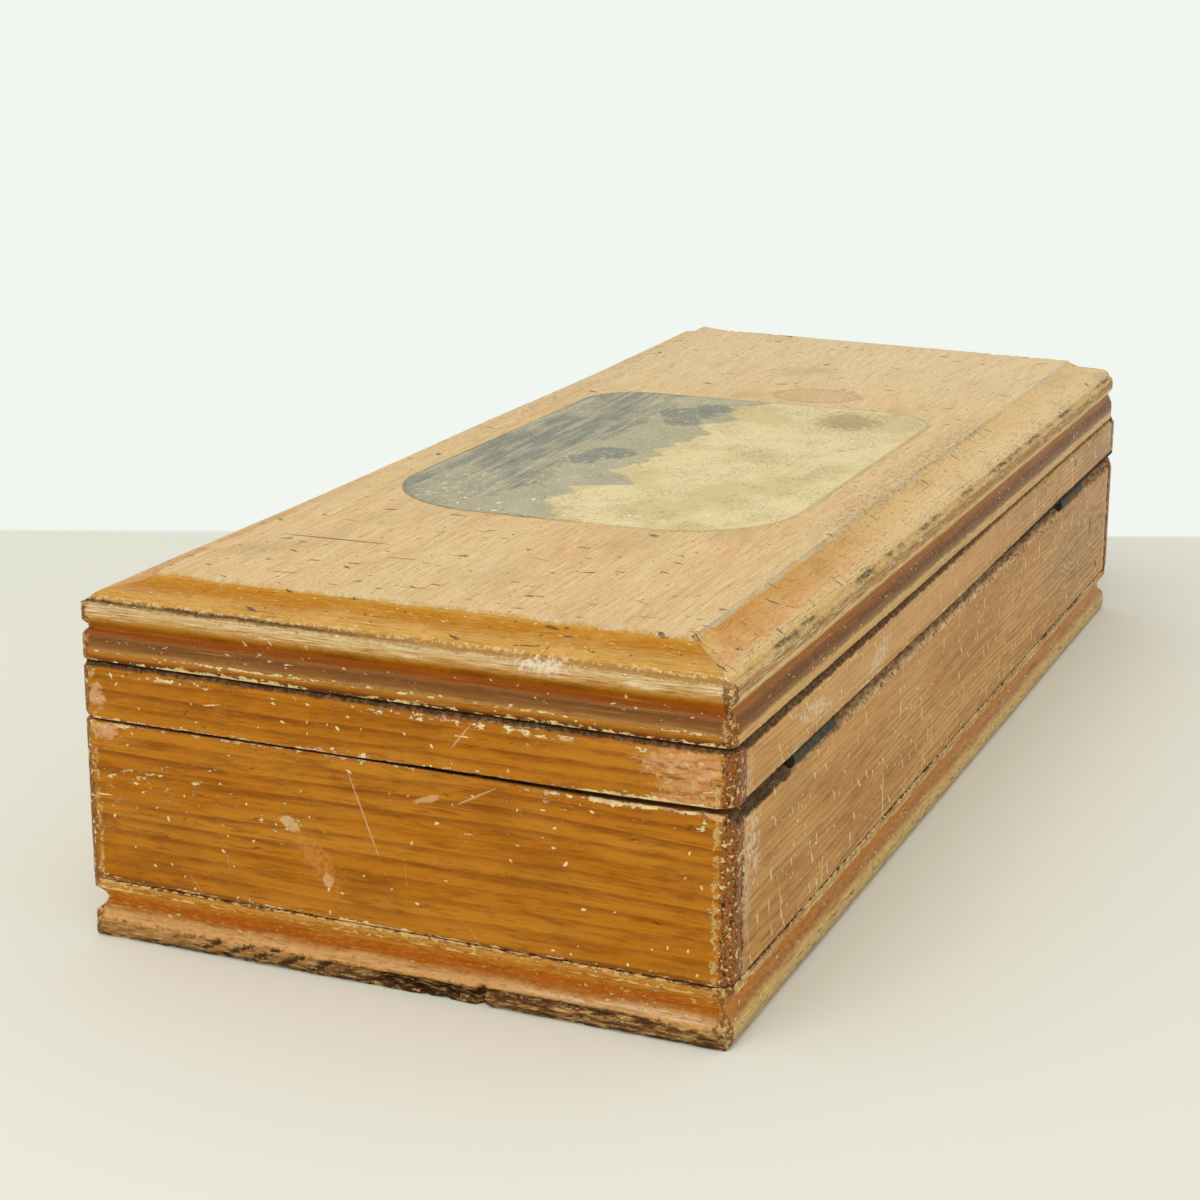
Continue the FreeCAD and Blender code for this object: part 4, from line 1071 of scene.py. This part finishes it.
def picture_finish():
    """A worn print of low hills and trees on an ochre ground, under crackled varnish."""
    material, b, shader, place = start_material("picture paper")
    x, y, _ = b.split(place)
    low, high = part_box("lid_picture")
    middle = (low + high) / 2 / MM
    half = (high - low) / 2 / MM
    u = x - middle.x
    radius = u.step(-1.0, 1.0) * 10.0 + 12.0
    past_x = abs(u) - (half.x - radius)
    past_y = abs(y - middle.y) - (half.y - radius)
    corner = b.math(
        "SQRT", b.math("POWER", b.most(past_x, 0.0), 2.0) + b.math("POWER", b.most(past_y, 0.0), 2.0)
    )
    border = radius - (corner + b.math("MINIMUM", b.most(past_x, past_y), 0.0))

    flat = b.join(x, y, 0.0)
    blotches = b.noise(place, (0.05, 0.09, 1.0), 4.0, 0.6)
    colour = b.layer((234, 214, 158), (216, 194, 136), blotches.step(0.42, 0.62))
    torn = b.noise(place, (0.9, 0.5, 1.0), 4.0, 0.7).around(2.2)
    ridge = b.noise(b.join(x * 0.05, 0.0, 3.0), 1.0, 2.0, 0.5)
    far_hill = (y + ridge.around(22.0) + torn).step(-4.0, -5.0)
    near_ridge = b.noise(b.join(x * 0.04, 5.0, 1.0), 1.0, 2.0, 0.5)
    land = (y + near_ridge.around(16.0) + torn).step(-17.5, -18.5)
    colour.lay((170, 166, 138), far_hill * 0.85)
    colour.lay(b.layer((164, 160, 134), (134, 134, 120), blotches.step(0.44, 0.6)), land)
    furrows = b.noise(place, (0.05, 0.9, 1.0), 3.0, 0.6)
    colour.lay((190, 184, 150), furrows.step(0.53, 0.62) * land * 0.8)
    colour.lay((110, 114, 108), furrows.step(0.42, 0.34) * land * 0.5)
    trees = ((-34, -10, 4.6), (-27, -13, 6.0), (-19, -11, 4.0), (14, -13, 5.0), (21, -16, 3.8))
    for tree_x, tree_y, size in trees:
        crown = b.mark(place, (tree_x, tree_y, 60.2), (size, size, 9.0), 0.0, 0.7, 0.2)
        colour.lay((118, 122, 114), crown * 0.8)

    worn = b.noise(place, (0.5, 0.9, 1.0), 5.0, 0.74)
    colour.lay((222, 202, 148), worn.step(0.55, 0.61) * blotches.step(0.6, 0.4) * 0.85)
    cracks = b.value("TexVoronoi", {"Vector": place, "Scale": 0.8}, feature="DISTANCE_TO_EDGE")
    crackle = cracks.step(0.07, 0.02) * b.noise(place, 0.16, 3.0).step(0.42, 0.6)
    colour.lay((142, 118, 74), crackle * 0.5)
    specks = strokes(b, flat, 3.0, 0.42, 0.28, 0.16, 0.3, 3.0)
    specks = b.most(specks, strokes(b, flat, 11.0, 0.35, 1.2, 0.16, 1.5, 0.8))
    colour.lay((82, 66, 44), specks * 0.8)
    brown = b.mark(place, (-33.0, 20.0, 60.2), (8, 6, 9), 0.3, 1.4, 0.8)
    colour.lay((146, 120, 74), brown * 0.6)
    chips = strokes(b, b.join(y, x, 0.0), 5.0, 0.5, 0.7, 0.4, 0.4, 1.5)
    colour.lay((246, 240, 218), chips * x.step(36.0, 58.0) * 0.9)
    colour.lay((128, 110, 76), border.band(0.2, 0.5, 0.15) * 0.55)
    grime = b.noise(place, (1.6, 2.6, 1.0), 5.0, 0.78)
    colour.lay((148, 128, 88), grime.step(0.54, 0.66) * 0.5)
    colour.lay((244, 228, 182), grime.step(0.46, 0.35) * 0.45)
    roughness = 0.5 + worn.around(0.2)
    relief = crackle * -0.04 + specks * -0.08 + worn.around(0.04)
    finish_surface(b, shader, colour, roughness, relief)
    return material


def metal_finish(name, colour, rust, roughness_level):
    """Old steel, dark and dulled, with rust in patches."""
    material, b, shader, place = start_material(name)
    patches = b.noise(place, 0.8, 4.0, 0.65)
    worn = b.noise(place, 2.2, 3.0, 0.6)
    base = b.layer(colour, rust, patches.step(0.5, 0.66))
    base.lay((150, 140, 120), worn.step(0.58, 0.7) * 0.4)
    roughness = roughness_level + patches.around(0.2)
    b.feed(shader.inputs["Metallic"], patches.step(0.62, 0.5) * 0.6)
    finish_surface(b, shader, base, roughness, worn.around(0.05))
    return material


# The pieces

END_RINGS = {"Spacing": 2.3, "Pith Across": 190.0, "Pith Height": -90.0, "Wander": 5.0}
SIDE_RINGS = {"Spacing": 0.95, "Pith Across": 92.0, "Pith Height": -24.0, "Lean": 0.02, "Wander": 6.0}

end_amber = board_finish(
    "end board wood", True, (194, 126, 32), (181, 110, 13), (124, 64, 6), END_RINGS, 0.75
)
# The long boards' paler, less saturated tan is partly painted sheen.
long_tan = board_finish(
    "long board wood", False, (210, 156, 82), (192, 132, 56), (140, 88, 36), SIDE_RINGS, 0.6
)
lid_wood = lid_finish()
base_wood = base_finish()


def dress(piece, node, body, material):
    """Gives a finished piece its material and body, and hides the node that it stands for."""
    piece.data.materials.append(material)
    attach(piece, body)
    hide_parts(node)


def make_boards():
    side_run, end_run = lid_moulding(FIELD_INSET_SIDES), lid_moulding(FIELD_INSET_ENDS)
    lid = moulded_board("lid_board_moulded", BOARD_FOOT, end_run, side_run, LID_FAR_RADIUS, False)
    wear(lid, 0.3 * MM)
    lift_far_corner(lid)
    dress(lid, "lid_board", "lid", lid_wood)
    run = base_moulding()
    base = moulded_board("base_board_moulded", BASE_FOOT, run, run, BASE_FAR_RADIUS, True)
    wear(base, 0.4 * MM)
    break_base_edge(base)
    dress(base, "base_board", "box", base_wood)


def make_walls():
    walls = {"front": long_tan, "back": long_tan, "left_end": end_amber, "right_end": end_amber}
    for side, material in walls.items():
        node = "box_" + side
        wall = carved_copy(node, node + "_worn", 0.6 * MM)
        wear(wall)
        lower_seams(wall)
        tilt_split(wall)
        dress(wall, node, "box", material)
    rails = {"front": long_tan, "back": long_tan, "left": end_amber, "right": end_amber}
    for side, material in rails.items():
        node = "lid_" + side + "_rail"
        rail = carved_copy(node, node + "_worn", 0.5 * MM)
        wear(rail)
        lower_seams(rail)
        sink_joint(rail)
        tilt_split(rail)
        dress(rail, node, "lid", material)


def paint_kept_nodes():
    """Gives the CAD's own hinges, screws, brads and picture their finishes."""
    finishes = {
        "picture_paper": picture_finish(),
        "hinge_metal": metal_finish("hinge metal", (74, 66, 50), (60, 42, 28), 0.6),
        "screw_metal": metal_finish("screw metal", (92, 86, 74), (84, 60, 40), 0.45),
        "brad_metal": metal_finish("brad metal", (72, 60, 50), (96, 58, 36), 0.6),
    }
    for entry in frame["record"]["subparts"]:
        if entry["material_slot"] in finishes:
            node = frame["nodes"][entry["node"]]
            node.data.materials.clear()
            node.data.materials.append(finishes[entry["material_slot"]])


# The stage


def shown_rays(b):
    """1 for rays that show a surface to the camera, straight or through gloss or glass."""
    rays = b.node("LightPath").outputs
    return b.most(rays["Is Camera Ray"], rays["Is Glossy Ray"], rays["Is Transmission Ray"])


def make_floor():
    """A pale plain surface that ends in a white wall's tone behind the box."""
    bpy.ops.mesh.primitive_plane_add(size=6, location=(0, 0, 0))
    floor = bpy.context.object
    floor.name = "floor"
    material = bpy.data.materials.new("floor")
    material.use_nodes = True
    b = Bench(material.node_tree)
    shader = material.node_tree.nodes["Principled BSDF"]
    shader.inputs["Base Color"].default_value = paint(236, 236, 221)
    shader.inputs["Roughness"].default_value = 0.9
    shader.inputs["Specular IOR Level"].default_value = 0.1
    place = b.node("TexCoord").outputs["Object"]
    away = b.value("VectorMath", {0: place, 1: FLOOR_AWAY}, "Value", operation="DOT_PRODUCT")
    beyond = away.step(FLOOR_REACH, FLOOR_REACH + 4 * MM) * shown_rays(b)
    wall = b.node("Emission", {"Color": WALL_WHITE, "Strength": 1.0})
    mixed = b.node("MixShader", {0: beyond, 1: shader.outputs[0], 2: wall.outputs[0]})
    output = material.node_tree.nodes["Material Output"]
    b.feed(output.inputs["Surface"], mixed.outputs[0])
    floor.data.materials.append(material)


def make_light():
    world = bpy.data.worlds.new("studio")
    world.use_nodes = True
    bpy.context.scene.world = world
    b = Bench(world.node_tree)
    seen = b.node("Background", {"Color": WALL_WHITE, "Strength": 1.0})
    fill = world.node_tree.nodes["Background"]
    fill.inputs["Color"].default_value = (1.0, 1.0, 1.0, 1.0)
    fill.inputs["Strength"].default_value = 0.72
    mixed = b.node("MixShader", {0: shown_rays(b), 1: fill.outputs[0], 2: seen.outputs[0]})
    b.feed(world.node_tree.nodes["World Output"].inputs["Surface"], mixed.outputs[0])
    bpy.ops.object.light_add(type="AREA", location=(0.75, 0.0, 0.95))
    key = bpy.context.object
    key.name = "soft_box"
    key.data.energy = 5.0
    key.data.size = 0.9
    key.rotation_euler = (Vector(key.location)).to_track_quat("Z", "Y").to_euler()


def make_camera():
    """Stands where the box is seen over its right end and back; its lens and shift are worked out for a
    square 1200 pixel frame.
    """
    azimuth, elevation, roll = (math.radians(turn) for turn in (112.6419, 15.3439, 0.3291))
    distance, focal, middle_x, middle_y, width, sensor = 0.48805, 2485.3, 611.6, 582.0, 1200, 36
    target = Vector((8.23, -14.99, 33.0)) * MM
    back = Vector((
        math.sin(azimuth) * math.cos(elevation), -math.cos(azimuth) * math.cos(elevation), math.sin(elevation)
    ))
    level_right = Vector((0, 0, 1)).cross(back).normalized()
    level_up = back.cross(level_right)
    right = math.cos(roll) * level_right + math.sin(roll) * level_up
    up = math.cos(roll) * level_up - math.sin(roll) * level_right
    place = target + back * distance
    bpy.ops.object.camera_add()
    camera = bpy.context.object
    camera.data.sensor_width = sensor
    camera.data.lens = focal / width * sensor
    camera.data.shift_x = -(middle_x - width / 2) / width
    camera.data.shift_y = (middle_y - width / 2) / width
    camera.matrix_world = Matrix((
        (right.x, up.x, back.x, place.x), (right.y, up.y, back.y, place.y), (right.z, up.z, back.z, place.z),
        (0, 0, 0, 1),
    ))
    bpy.context.scene.camera = camera
    bpy.context.scene.view_settings.view_transform = "Standard"


WALL_WHITE = paint(241, 246, 240)
FLOOR_AWAY = (-0.923, -0.385, 0.0)  # level, away from the camera
FLOOR_REACH = 0.165

make_camera()
make_floor()
make_light()
make_boards()
make_walls()
paint_kept_nodes()
